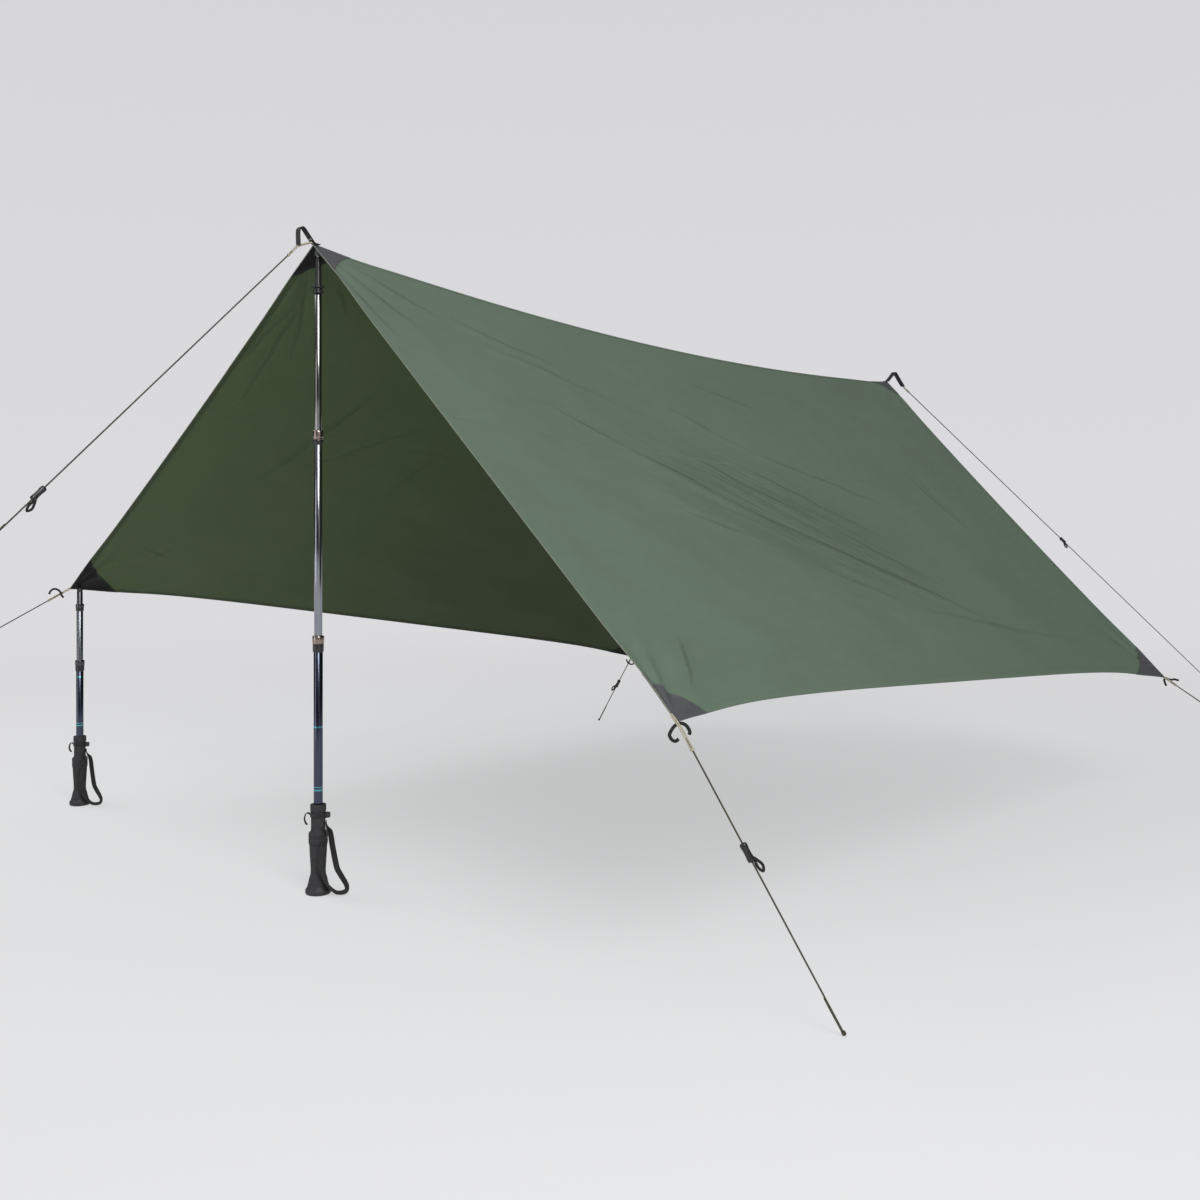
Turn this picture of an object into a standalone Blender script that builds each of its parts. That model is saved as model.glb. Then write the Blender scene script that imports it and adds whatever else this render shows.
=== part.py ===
"""Camping tarp pitched as an A-frame on two telescoping walking poles.

The cloth is cut flat, as its pattern pieces, and each piece is then laid on the pitched surface, which
hangs between a ridge, two eaves and two open ends that all bow a little. Both poles stand upside down, with
the grip on the ground, and slide together section by section. Guylines hold every corner and both peaks, and
four of them have line locks.

Metres, +Z up. The origin is the middle of the tall pole's foot, on the ground. +Y runs along the ridge from
the front peak to the rear peak, and +X points to the right-hand eave.
"""
import math

import bmesh
import bpy
from mathutils import Matrix, Vector

# Flat cloth: half its width, from ridge to eave, and its length along the ridge
CLOTH_HALF_WIDTH = 1.290
CLOTH_LENGTH = 2.030
CLOTH_THICKNESS = 0.0010
PATCH_THICKNESS = 0.0018
HEM_THICKNESS = 0.0016
HEM_WIDTH = 0.012
RIDGE_TAPE_WIDTH = 0.012
PANEL_SEAM_FROM_RIDGE = 0.540
SEAM_GAP = 0.0003
SHEET_COLUMNS = 7
SHEET_ROWS = 12
EDGE_GUIDES = (HEM_WIDTH, 0.050, 0.100)

# Where each corner of the cloth is held, measured from the tall pole's foot
FRONT_PEAK_FORWARD = 0.011
FRONT_PEAK_HEIGHT = 1.284
REAR_PEAK_BACK = 2.080
REAR_PEAK_HEIGHT = 1.159
FRONT_RIGHT_OUT = 0.965
FRONT_RIGHT_FORWARD = 0.026
FRONT_RIGHT_HEIGHT = 0.453
FRONT_LEFT_OUT = 1.121
FRONT_LEFT_FORWARD = 0.012
FRONT_LEFT_HEIGHT = 0.557
REAR_RIGHT_OUT = 0.900
REAR_RIGHT_BACK = 1.953
REAR_RIGHT_HEIGHT = 0.3295
REAR_LEFT_OUT = 0.944
REAR_LEFT_BACK = 1.923
REAR_LEFT_HEIGHT = 0.240

# How far the middle of each edge of the cloth bows off the straight line between its corners. The ridge and
# the ends are parabolas, and the eaves have a higher power, which curves them mostly near their corners
RIDGE_SAG = 0.050
RIGHT_EAVE_BOW_IN = 0.035
RIGHT_EAVE_BOW_UP = 0.023
LEFT_EAVE_BOW_IN = 0.031
LEFT_EAVE_BOW_UP = 0.019
EAVE_POWER = 5.0
RIGHT_FRONT_BOW_IN = 0.010
RIGHT_FRONT_BOW_DOWN = 0.010
LEFT_FRONT_BOW_IN = 0.008
REAR_BOW_IN = 0.020

# Reinforcing patches: how far each reaches across the cloth and along it from its corner
FRONT_PEAK_PATCH_ACROSS = 0.095
FRONT_PEAK_PATCH_ALONG = 0.085
REAR_PEAK_PATCH_ACROSS = 0.070
REAR_PEAK_PATCH_ALONG = 0.085
FRONT_RIGHT_PATCH_ACROSS = 0.100
FRONT_RIGHT_PATCH_ALONG = 0.092
FRONT_LEFT_PATCH_ACROSS = 0.135
FRONT_LEFT_PATCH_ALONG = 0.120
REAR_RIGHT_PATCH_ACROSS = 0.112
REAR_RIGHT_PATCH_ALONG = 0.140
REAR_LEFT_PATCH_ACROSS = 0.112
REAR_LEFT_PATCH_ALONG = 0.130

# Poles
LOWER_TUBE_RADIUS = 0.0090
MIDDLE_TUBE_RADIUS = 0.0080
UPPER_TUBE_RADIUS = 0.0070
TUBE_WALL = 0.0006
TUBE_SIDES = 20
GRIP_HEIGHT = 0.177
GRIP_COLLAR_HEIGHT = 0.015
GRIP_COLLAR_RADIUS = 0.0156
GRIP_NECK_RADIUS = 0.0141
GRIP_SHOULDER_HEIGHT = 0.122
GRIP_SHOULDER_BAND = 0.024
GRIP_SHOULDER_RADIUS = 0.0190
GRIP_LIP_BAND = 0.0085
GRIP_GROOVE_WIDTH = 0.0018
GRIP_GROOVE_DEPTH = 0.0007
GRIP_WAIST_HEIGHT = 0.046
GRIP_WAIST_RADIUS = 0.0148
POMMEL_HEIGHT = 0.016
POMMEL_RADIUS = 0.0252
TUBE_FLOOR_IN_GRIP = 0.032
GRIP_SIDES = 24
LOWER_LOCK_RADIUS = 0.0117
UPPER_LOCK_RADIUS = 0.0104
SLEEVE_TO_NUT_RADIUS = 0.93
LOCK_SEAT = 0.6
TALL_LOWER_LOCK_AT = 0.478
TALL_LOWER_SLEEVE = 0.016
TALL_LOWER_NUT = 0.016
TALL_UPPER_LOCK_AT = 0.889
TALL_UPPER_SLEEVE = 0.010
TALL_UPPER_NUT = 0.018
TALL_MIDDLE_OVERLAP = 0.070
TALL_UPPER_OVERLAP = 0.080
SHORT_LOWER_LOCK_AT = 0.344
SHORT_LOWER_SLEEVE = 0.013
SHORT_LOWER_NUT = 0.015
SHORT_UPPER_LOCK_AT = 0.499
SHORT_UPPER_SLEEVE = 0.007
SHORT_UPPER_NUT = 0.011
SHORT_MIDDLE_OVERLAP = 0.194
SHORT_UPPER_OVERLAP = 0.250
SHORT_POLE_INSET = 0.018
FERRULE_LENGTH = 0.072
FERRULE_TOP_RADIUS = 0.0048
FERRULE_TAPER_FROM = 0.030
FERRULE_FLANGE_RADIUS = 0.0125
FERRULE_FLANGE_THICKNESS = 0.0035
SPIKE_RADIUS = 0.0036
SPIKE_LENGTH = 0.012
POCKET_RADIUS = 0.0066
POCKET_TOP_RADIUS = 0.0020
POCKET_HEIGHT = 0.020
SHORT_CAP_RADIUS = 0.0052
SHORT_CAP_HEIGHT = 0.010

# Wrist strap and its wedge, seen along the direction in which the strap hangs out from the grip
STRAP_BEARING_DEGREES = 44.4
STRAP_WIDTH = 0.012
STRAP_THICKNESS = 0.0018
STRAP_CLEARANCE = 0.0012
STRAP_PIVOT_HEIGHT = 0.142
STRAP_STEPS = 2
WEDGE_LENGTH = 0.0095
WEDGE_WIDTH = 0.010
WEDGE_HEIGHT = 0.012
WEDGE_BELOW_COLLAR = 0.0006

# Tie-outs, guylines and line locks
LOOP_WEBBING_WIDTH = 0.015
LOOP_WEBBING_THICKNESS = 0.0018
HOOK_CORD_RADIUS = 0.0026
GUYLINE_RADIUS = 0.0014
GUYLINE_POINTS = 10
LOCK_LENGTH = 0.030
LOCK_WIDTH = 0.0116
LOCK_WAIST = 0.0102
LOCK_FLATNESS = 0.85
LOCK_EYE_RADIUS = 0.0018
LOCK_EYE_LENGTH = 0.0205
LOCK_EYE_WIDTH = 0.0085
LOCK_BORE_RADIUS = 0.0029
LOCK_SIDES = 12
FRONT_LOCK_AT = 0.703
REAR_LOCK_AT = 0.940
FRONT_RIGHT_LOCK_AT = 0.207
REAR_LEFT_LOCK_AT = 0.1156
# Which side of its guyline each line lock's eye lies on, 1 being the upper side
LOCK_EYE_SIDES = {"front_peak": -1.0, "rear_peak": -1.0, "front_right": 1.0, "rear_left": 1.0}

# The peak loops, as places along Y and up from the peak
FRONT_LOOP_SHAPE = [
    (0.0120, 0.0012), (0.0010, 0.0026), (-0.0040, 0.0065), (-0.0130, 0.0170), (-0.0235, 0.0290),
    (-0.0290, 0.0305), (-0.0340, 0.0265), (-0.0352, 0.0180), (-0.0350, 0.0080), (-0.0344, -0.0060),
]
REAR_LOOP_SHAPE = [
    (-0.0120, 0.0022), (-0.0010, 0.0026), (0.0040, 0.0060), (0.0190, 0.0170), (0.0370, 0.0320),
    (0.0420, 0.0335), (0.0470, 0.0310), (0.0600, 0.0200), (0.0760, 0.0065), (0.0925, -0.0070),
]

# The corner hooks, as places out along the guyline and across it. The front right hook bends round the end
# of its guyline, and the others ride on theirs
FRONT_RIGHT_HOOK = [
    (0.0213, -0.0062), (0.0180, -0.0092), (0.0096, -0.0092), (0.0032, -0.0060), (0.0000, 0.0000),
    (0.0007, 0.0074), (0.0044, 0.0145), (0.0087, 0.0193), (0.0161, 0.0192), (0.0205, 0.0155),
    (0.0198, 0.0100),
]
FRONT_LEFT_HOOK = [
    (0.0240, -0.0125), (0.0255, -0.0065), (0.0245, 0.0000), (0.0250, 0.0075), (0.0290, 0.0145),
    (0.0350, 0.0185), (0.0420, 0.0190), (0.0480, 0.0165), (0.0520, 0.0125),
]
REAR_RIGHT_HOOK = [
    (0.0185, 0.0140), (0.0150, 0.0125), (0.0090, 0.0085), (0.0050, 0.0040), (0.0065, -0.0010),
    (0.0140, -0.0030), (0.0210, -0.0060), (0.0260, -0.0110), (0.0320, -0.0130), (0.0365, -0.0150),
]
REAR_LEFT_HOOK = [
    (0.0190, 0.0130), (0.0215, 0.0100), (0.0265, 0.0040), (0.0285, -0.0030), (0.0270, -0.0110),
    (0.0210, -0.0170), (0.0130, -0.0180), (0.0060, -0.0140),
]

# Gap that neighbouring pieces keep, and the one between a peak loop and the guyline tied to it
FIT = 0.0003
TIE_CLEARANCE = 0.0010
UP = Vector((0.0, 0.0, 1.0))

FRONT_PEAK = Vector((0.0, -FRONT_PEAK_FORWARD, FRONT_PEAK_HEIGHT))
REAR_PEAK = Vector((0.0, REAR_PEAK_BACK, REAR_PEAK_HEIGHT))
FRONT_RIGHT = Vector((FRONT_RIGHT_OUT, -FRONT_RIGHT_FORWARD, FRONT_RIGHT_HEIGHT))
FRONT_LEFT = Vector((-FRONT_LEFT_OUT, -FRONT_LEFT_FORWARD, FRONT_LEFT_HEIGHT))
REAR_RIGHT = Vector((REAR_RIGHT_OUT, REAR_RIGHT_BACK, REAR_RIGHT_HEIGHT))
REAR_LEFT = Vector((-REAR_LEFT_OUT, REAR_LEFT_BACK, REAR_LEFT_HEIGHT))
TALL_POLE_FOOT = Vector((0.0, 0.0, 0.0))
SHORT_POLE_FOOT = Vector((FRONT_LEFT.x + SHORT_POLE_INSET, FRONT_LEFT.y + SHORT_POLE_INSET, 0.0))

# Far ends of the guylines
FRONT_GUYLINE_END = Vector((0.0, -0.6480, 0.6930))
REAR_GUYLINE_END = Vector((0.3830, 3.9700, GUYLINE_RADIUS))
FRONT_RIGHT_GUYLINE_END = Vector((1.1430, 0.1375, GUYLINE_RADIUS))
REAR_LEFT_GUYLINE_END = Vector((-1.0800, 1.8930, GUYLINE_RADIUS))
FRONT_LEFT_GUYLINE_END = Vector((-1.2900, -0.1780, 0.4250))
REAR_RIGHT_GUYLINE_END = Vector((1.0030, 2.0540, 0.2310))


# Scene, collections and finishes

def clear_scene():
    """Remove every object that is in the file."""
    for thing in list(bpy.data.objects):
        bpy.data.objects.remove(thing, do_unlink=True)


def new_collection(name):
    """Add a collection under the scene's own."""
    collection = bpy.data.collections.new(name)
    bpy.context.scene.collection.children.link(collection)
    return collection


def finish(thing, colour, roughness, metallic=0.0):
    """Give a piece its own material."""
    material = bpy.data.materials.new(thing.name + "_finish")
    material.use_nodes = True
    shader = material.node_tree.nodes["Principled BSDF"]
    shader.inputs["Base Color"].default_value = (*colour, 1.0)
    shader.inputs["Roughness"].default_value = roughness
    shader.inputs["Metallic"].default_value = metallic
    thing.data.materials.append(material)
    return thing


def add_object(name, data, collection, parent=None):
    """Link a new object, under a parent where it has one."""
    thing = bpy.data.objects.new(name, data)
    collection.objects.link(thing)
    if parent is not None:
        thing.parent = parent
    return thing


CLOTH_GREEN = (0.110, 0.160, 0.105)
PATCH_GREY = (0.070, 0.070, 0.076)
BLACK_WEBBING = (0.020, 0.020, 0.022)
BLACK_RUBBER = (0.030, 0.030, 0.032)
ANODISED_GREY = (0.090, 0.095, 0.110)
ANODISED_NAVY = (0.030, 0.045, 0.085)
BRONZE = (0.300, 0.190, 0.100)
OLIVE_CORD = (0.150, 0.145, 0.110)
STEEL = (0.450, 0.450, 0.450)


# The pitched surface

def bowed(start, end, bow, share, power=2.0):
    """Point of an edge that bows off the line from start to end."""
    return start.lerp(end, share) + bow * (1.0 - abs(2.0 * share - 1.0) ** power)


def pitched(across, along):
    """Place on the pitched surface of a point of the flat cloth, as a Coons patch between its four edges.

    across is measured from the ridge, positive to the right, and along from the front edge."""
    right = across >= 0.0
    u = abs(across) / CLOTH_HALF_WIDTH
    v = along / CLOTH_LENGTH
    front_corner = FRONT_RIGHT if right else FRONT_LEFT
    rear_corner = REAR_RIGHT if right else REAR_LEFT
    if right:
        eave_bow = Vector((-RIGHT_EAVE_BOW_IN, 0.0, RIGHT_EAVE_BOW_UP))
        front_bow = Vector((0.0, RIGHT_FRONT_BOW_IN, -RIGHT_FRONT_BOW_DOWN))
    else:
        eave_bow = Vector((LEFT_EAVE_BOW_IN, 0.0, LEFT_EAVE_BOW_UP))
        front_bow = Vector((0.0, LEFT_FRONT_BOW_IN, 0.0))
    rear_bow = Vector((0.0, -REAR_BOW_IN, 0.0))
    ridge = bowed(FRONT_PEAK, REAR_PEAK, Vector((0.0, 0.0, -RIDGE_SAG)), v)
    eave = bowed(front_corner, rear_corner, eave_bow, v, EAVE_POWER)
    front = bowed(FRONT_PEAK, front_corner, front_bow, u)
    rear = bowed(REAR_PEAK, rear_corner, rear_bow, u)
    corners = FRONT_PEAK.lerp(REAR_PEAK, v).lerp(front_corner.lerp(rear_corner, v), u)
    return ridge.lerp(eave, u) + front.lerp(rear, v) - corners


def roof_height(x, y):
    """Height of the cloth's middle layer over a place on the ground, found by stepping on the flat cloth."""
    across = x * CLOTH_HALF_WIDTH / (FRONT_RIGHT_OUT if x >= 0.0 else FRONT_LEFT_OUT)
    along = y * CLOTH_LENGTH / REAR_PEAK_BACK
    for _ in range(40):
        here = pitched(across, along)
        across += x - here.x
        along += y - here.y
    return pitched(across, along).z


def roof_underside(x, y, reach):
    """Height that something of a given radius can reach under the cloth without touching it."""
    lowest = min(
        roof_height(x + reach * math.cos(turn), y + reach * math.sin(turn))
        for turn in (math.tau * step / 12 for step in range(12))
    )
    return lowest - PATCH_THICKNESS - FIT


# Cloth pieces, cut from one flat sheet

def cut(start, end, keep):
    """A straight cut through two flat points, half a seam's gap inside the side that keep lies on."""
    start = Vector((*start, 0.0))
    run = Vector((*end, 0.0)) - start
    normal = Vector((run.y, -run.x, 0.0)).normalized()
    if normal.dot(Vector((*keep, 0.0)) - start) > 0.0:
        normal.negate()
    return start - normal * (SEAM_GAP / 2.0), normal


def split(sheet, point, normal, trim):
    """Divide the sheet along a straight line, and trim what lies past it where it is a cut."""
    everything = sheet.verts[:] + sheet.edges[:] + sheet.faces[:]
    bmesh.ops.bisect_plane(
        sheet, geom=everything, dist=0.00002, plane_co=point, plane_no=normal, clear_outer=trim)


def cloth_piece(name, cuts, thickness, colour, collection):
    """Cut a piece out of the flat sheet, lay it on the pitched surface and give it its thickness.

    The sheet is divided more finely along its edges, where it curves most, so that neighbours meet."""
    sheet = bmesh.new()
    bmesh.ops.create_grid(sheet, x_segments=2 * SHEET_COLUMNS, y_segments=SHEET_ROWS, size=1.0)
    for corner in sheet.verts:
        corner.co.x *= CLOTH_HALF_WIDTH
        corner.co.y = (corner.co.y + 1.0) / 2.0 * CLOTH_LENGTH
    for distance in EDGE_GUIDES:
        for across in (distance - CLOTH_HALF_WIDTH, CLOTH_HALF_WIDTH - distance):
            split(sheet, (across, 0.0, 0.0), (1.0, 0.0, 0.0), False)
        for along in (distance, CLOTH_LENGTH - distance):
            split(sheet, (0.0, along, 0.0), (0.0, 1.0, 0.0), False)
    for point, normal in cuts:
        split(sheet, point, normal, True)
    for corner in sheet.verts:
        corner.co = pitched(corner.co.x, corner.co.y)
    mesh = bpy.data.meshes.new(name)
    sheet.to_mesh(mesh)
    sheet.free()
    mesh.shade_smooth()
    piece = add_object(name, mesh, collection)
    solidify = piece.modifiers.new("Thickness", "SOLIDIFY")
    solidify.thickness = thickness
    solidify.offset = 0.0
    solidify.use_even_offset = True
    return finish(piece, colour, 0.7)


def corner_cut(side, at_rear, across, along, keep):
    """The slanting seam of an eave corner's patch."""
    edge = side * CLOTH_HALF_WIDTH
    end = CLOTH_LENGTH if at_rear else 0.0
    inward = -1.0 if at_rear else 1.0
    return cut((edge - side * across, end), (edge, end + inward * along), keep)


def peak_cut(side, at_rear, across, along, keep):
    """The slanting seam of a peak's patch on one side of the ridge."""
    end = CLOTH_LENGTH if at_rear else 0.0
    inward = -1.0 if at_rear else 1.0
    return cut((side * across, end), (side * RIDGE_TAPE_WIDTH / 2.0, end + inward * along), keep)


def side_patches(side):
    """Patch reaches of one side of the cloth, as front corner and rear corner."""
    if side > 0:
        front = (FRONT_RIGHT_PATCH_ACROSS, FRONT_RIGHT_PATCH_ALONG)
        rear = (REAR_RIGHT_PATCH_ACROSS, REAR_RIGHT_PATCH_ALONG)
    else:
        front = (FRONT_LEFT_PATCH_ACROSS, FRONT_LEFT_PATCH_ALONG)
        rear = (REAR_LEFT_PATCH_ACROSS, REAR_LEFT_PATCH_ALONG)
    return front, rear


def line_across(along, keep_rear):
    """A seam that runs straight across the cloth."""
    keep = (0.0, along + (1.0 if keep_rear else -1.0))
    return cut((-1.0, along), (1.0, along), keep)


def line_along(across, keep_right):
    """A seam that runs straight along the cloth."""
    keep = (across + (1.0 if keep_right else -1.0), 0.0)
    return cut((across, 0.0), (across, 1.0), keep)


def build_side(side, label, collection):
    """The two panels, the three hems and the two corner patches on one side of the ridge."""
    tape = side * RIDGE_TAPE_WIDTH / 2.0
    seam = side * PANEL_SEAM_FROM_RIDGE
    inner_hem = side * (CLOTH_HALF_WIDTH - HEM_WIDTH)
    middle = (side * CLOTH_HALF_WIDTH / 2.0, CLOTH_LENGTH / 2.0)
    outwards = side > 0
    front_patch, rear_patch = side_patches(side)
    peaks = [
        peak_cut(side, False, FRONT_PEAK_PATCH_ACROSS, FRONT_PEAK_PATCH_ALONG, middle),
        peak_cut(side, True, REAR_PEAK_PATCH_ACROSS, REAR_PEAK_PATCH_ALONG, middle),
    ]
    corners = [corner_cut(side, False, *front_patch, middle), corner_cut(side, True, *rear_patch, middle)]
    ends = [line_across(HEM_WIDTH, True), line_across(CLOTH_LENGTH - HEM_WIDTH, False)]
    upper = [line_along(tape, outwards), line_along(seam, not outwards), *ends, *peaks]
    lower = [line_along(seam, outwards), line_along(inner_hem, not outwards), *ends, *corners]
    cloth_piece(label + "_upper_panel", upper, CLOTH_THICKNESS, CLOTH_GREEN, collection)
    cloth_piece(label + "_lower_panel", lower, CLOTH_THICKNESS, CLOTH_GREEN, collection)
    front_hem = [line_along(tape, outwards), line_across(HEM_WIDTH, False), peaks[0], corners[0]]
    rear_hem = [line_along(tape, outwards), line_across(CLOTH_LENGTH - HEM_WIDTH, True), peaks[1], corners[1]]
    eave_hem = [line_along(inner_hem, outwards), *corners]
    cloth_piece(label + "_front_hem", front_hem, HEM_THICKNESS, CLOTH_GREEN, collection)
    cloth_piece(label + "_rear_hem", rear_hem, HEM_THICKNESS, CLOTH_GREEN, collection)
    cloth_piece(label + "_eave_hem", eave_hem, HEM_THICKNESS, CLOTH_GREEN, collection)
    front_tip = (side * CLOTH_HALF_WIDTH, 0.0)
    rear_tip = (side * CLOTH_HALF_WIDTH, CLOTH_LENGTH)
    front_cut = [corner_cut(side, False, *front_patch, front_tip)]
    rear_cut = [corner_cut(side, True, *rear_patch, rear_tip)]
    cloth_piece("front_" + label + "_patch", front_cut, PATCH_THICKNESS, PATCH_GREY, collection)
    cloth_piece("rear_" + label + "_patch", rear_cut, PATCH_THICKNESS, PATCH_GREY, collection)


def build_ridge(collection):
    """The taped ridge seam and the patch over each peak, all folded over the ridge."""
    half = RIDGE_TAPE_WIDTH / 2.0
    tape = [
        line_along(-half, True),
        line_along(half, False),
        line_across(FRONT_PEAK_PATCH_ALONG, True),
        line_across(CLOTH_LENGTH - REAR_PEAK_PATCH_ALONG, False),
    ]
    cloth_piece("ridge_seam_tape", tape, HEM_THICKNESS, CLOTH_GREEN, collection)
    front = [peak_cut(side, False, FRONT_PEAK_PATCH_ACROSS, FRONT_PEAK_PATCH_ALONG, (0.0, 0.0))
             for side in (-1.0, 1.0)]
    front.append(line_across(FRONT_PEAK_PATCH_ALONG, False))
    rear = [peak_cut(side, True, REAR_PEAK_PATCH_ACROSS, REAR_PEAK_PATCH_ALONG, (0.0, CLOTH_LENGTH))
            for side in (-1.0, 1.0)]
    rear.append(line_across(CLOTH_LENGTH - REAR_PEAK_PATCH_ALONG, True))
    cloth_piece("front_peak_patch", front, PATCH_THICKNESS, PATCH_GREY, collection)
    cloth_piece("rear_peak_patch", rear, PATCH_THICKNESS, PATCH_GREY, collection)


# Turned, swept and lofted forms

def turned(name, profile, sides, collection, parent):
    """Turn a profile of (radius, height) points about Z. It runs down the outer side.

    A profile that starts on the axis makes a solid, and one that doesn't is closed into a ring."""
    points = [(radius, 0.0, height) for radius, height in profile]
    edges = [(index, index + 1) for index in range(len(points) - 1)]
    if profile[0][0] > 0.0:
        edges.append((len(points) - 1, 0))
    mesh = bpy.data.meshes.new(name)
    mesh.from_pydata(points, edges, [])
    thing = add_object(name, mesh, collection, parent)
    screw = thing.modifiers.new("Turn", "SCREW")
    screw.axis = "Z"
    screw.steps = sides
    screw.render_steps = sides
    screw.use_merge_vertices = True
    screw.merge_threshold = 0.00001
    screw.use_smooth_shade = True
    return thing


def tube(name, radius, bottom, top, collection, parent):
    """A hollow round tube, open at both ends."""
    inner = radius - TUBE_WALL
    profile = [(inner, top), (radius, top), (radius, bottom), (inner, bottom)]
    return turned(name, profile, TUBE_SIDES, collection, parent)


def swept_cord(name, points, radius, collection, cyclic=False):
    """A round cord along its points."""
    curve = bpy.data.curves.new(name, "CURVE")
    curve.dimensions = "3D"
    curve.bevel_depth = radius
    curve.bevel_resolution = 2
    curve.use_fill_caps = True
    line = curve.splines.new("POLY")
    line.points.add(len(points) - 1)
    line.use_cyclic_u = cyclic
    for knot, place in zip(line.points, points):
        knot.co = (*place, 1.0)
    return add_object(name, curve, collection)


def webbing(name, path, across, width, thickness, collection):
    """A flat strip along a path. across holds, for each point, the direction of the strip's width."""
    strip = bmesh.new()
    rings = []
    for index, place in enumerate(path):
        ahead = path[min(index + 1, len(path) - 1)] - path[max(index - 1, 0)]
        wide = across[index] - ahead * (across[index].dot(ahead) / ahead.length_squared)
        wide = wide.normalized() * (width / 2.0)
        deep = ahead.cross(wide).normalized() * (thickness / 2.0)
        corners = (place - wide - deep, place + wide - deep, place + wide + deep, place - wide + deep)
        rings.append([strip.verts.new(corner) for corner in corners])
    for ring, following in zip(rings, rings[1:]):
        for index in range(4):
            after = (index + 1) % 4
            strip.faces.new((ring[index], ring[after], following[after], following[index]))
    strip.faces.new(rings[0][::-1])
    strip.faces.new(rings[-1])
    bmesh.ops.recalc_face_normals(strip, faces=strip.faces[:])
    mesh = bpy.data.meshes.new(name)
    strip.to_mesh(mesh)
    strip.free()
    return add_object(name, mesh, collection)


def smooth_path(points, steps):
    """Points read evenly from the smooth curve through the given ones."""
    ends = [points[0] * 2.0 - points[1], *points, points[-1] * 2.0 - points[-2]]
    path = []
    for index in range(len(points) - 1):
        before, start, end, after = ends[index:index + 4]
        for step in range(steps):
            t = step / steps
            bend = (before * 2.0 - start * 5.0 + end * 4.0 - after) * (t * t)
            twist = (start * 3.0 - before - end * 3.0 + after) * (t * t * t)
            path.append((start * 2.0 + (end - before) * t + bend + twist) / 2.0)
    path.append(points[-1].copy())
    return path


# Poles

def build_pommel(prefix, parent, collection):
    """The wide end cap of the grip, which stands on the ground."""
    profile = [
        (0.0, POMMEL_HEIGHT),
        (POMMEL_RADIUS * 0.84, POMMEL_HEIGHT),
        (POMMEL_RADIUS * 0.90, POMMEL_HEIGHT * 0.72),
        (POMMEL_RADIUS, POMMEL_HEIGHT * 0.50),
        (POMMEL_RADIUS, POMMEL_HEIGHT * 0.16),
        (POMMEL_RADIUS * 0.94, 0.0),
        (0.0, 0.0),
    ]
    finish(turned(prefix + "_pommel", profile, GRIP_SIDES, collection, parent), BLACK_RUBBER, 0.55)


def build_grip(prefix, parent, collection):
    """The moulded handle, with a waist, a lipped shoulder, a neck and a collar round the lower tube."""
    bore = LOWER_TUBE_RADIUS + FIT
    base = POMMEL_HEIGHT + FIT
    neck_top = GRIP_HEIGHT - GRIP_COLLAR_HEIGHT
    shoulder = GRIP_SHOULDER_HEIGHT
    band_base = GRIP_SHOULDER_HEIGHT - GRIP_SHOULDER_BAND
    profile = [
        (0.0, TUBE_FLOOR_IN_GRIP),
        (bore, TUBE_FLOOR_IN_GRIP),
        (bore, GRIP_HEIGHT),
        (GRIP_COLLAR_RADIUS * 0.93, GRIP_HEIGHT),
        (GRIP_COLLAR_RADIUS, GRIP_HEIGHT - 0.002),
        (GRIP_COLLAR_RADIUS, neck_top + 0.001),
        (GRIP_NECK_RADIUS, neck_top),
        (GRIP_NECK_RADIUS, shoulder + 0.002),
        (GRIP_SHOULDER_RADIUS * 0.94, shoulder),
        (GRIP_SHOULDER_RADIUS, shoulder - 0.002),
        (GRIP_SHOULDER_RADIUS, shoulder - GRIP_LIP_BAND),
        (GRIP_SHOULDER_RADIUS - GRIP_GROOVE_DEPTH, shoulder - GRIP_LIP_BAND - GRIP_GROOVE_WIDTH / 3.0),
        (GRIP_SHOULDER_RADIUS - GRIP_GROOVE_DEPTH, shoulder - GRIP_LIP_BAND - GRIP_GROOVE_WIDTH * 2.0 / 3.0),
        (GRIP_SHOULDER_RADIUS, shoulder - GRIP_LIP_BAND - GRIP_GROOVE_WIDTH),
        (GRIP_SHOULDER_RADIUS, band_base + 0.002),
        (GRIP_SHOULDER_RADIUS * 0.93, band_base),
        (GRIP_WAIST_RADIUS * 1.14, (band_base + GRIP_WAIST_HEIGHT) / 2.0),
        (GRIP_WAIST_RADIUS, GRIP_WAIST_HEIGHT),
        (GRIP_WAIST_RADIUS * 1.05, GRIP_WAIST_HEIGHT * 0.78),
        (GRIP_WAIST_RADIUS * 1.15, GRIP_WAIST_HEIGHT * 0.74),
        (POMMEL_RADIUS * 0.76, GRIP_WAIST_HEIGHT * 0.50),
        (POMMEL_RADIUS * 0.84, base),
        (0.0, base),
    ]
    finish(turned(prefix + "_grip", profile, GRIP_SIDES, collection, parent), BLACK_RUBBER, 0.8)


def strap_frame():
    """Level directions out from the grip along the strap, and sideways across it."""
    bearing = math.radians(STRAP_BEARING_DEGREES)
    out = Vector((math.cos(bearing), math.sin(bearing), 0.0))
    return out, Vector((out.y, -out.x, 0.0))


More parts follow.
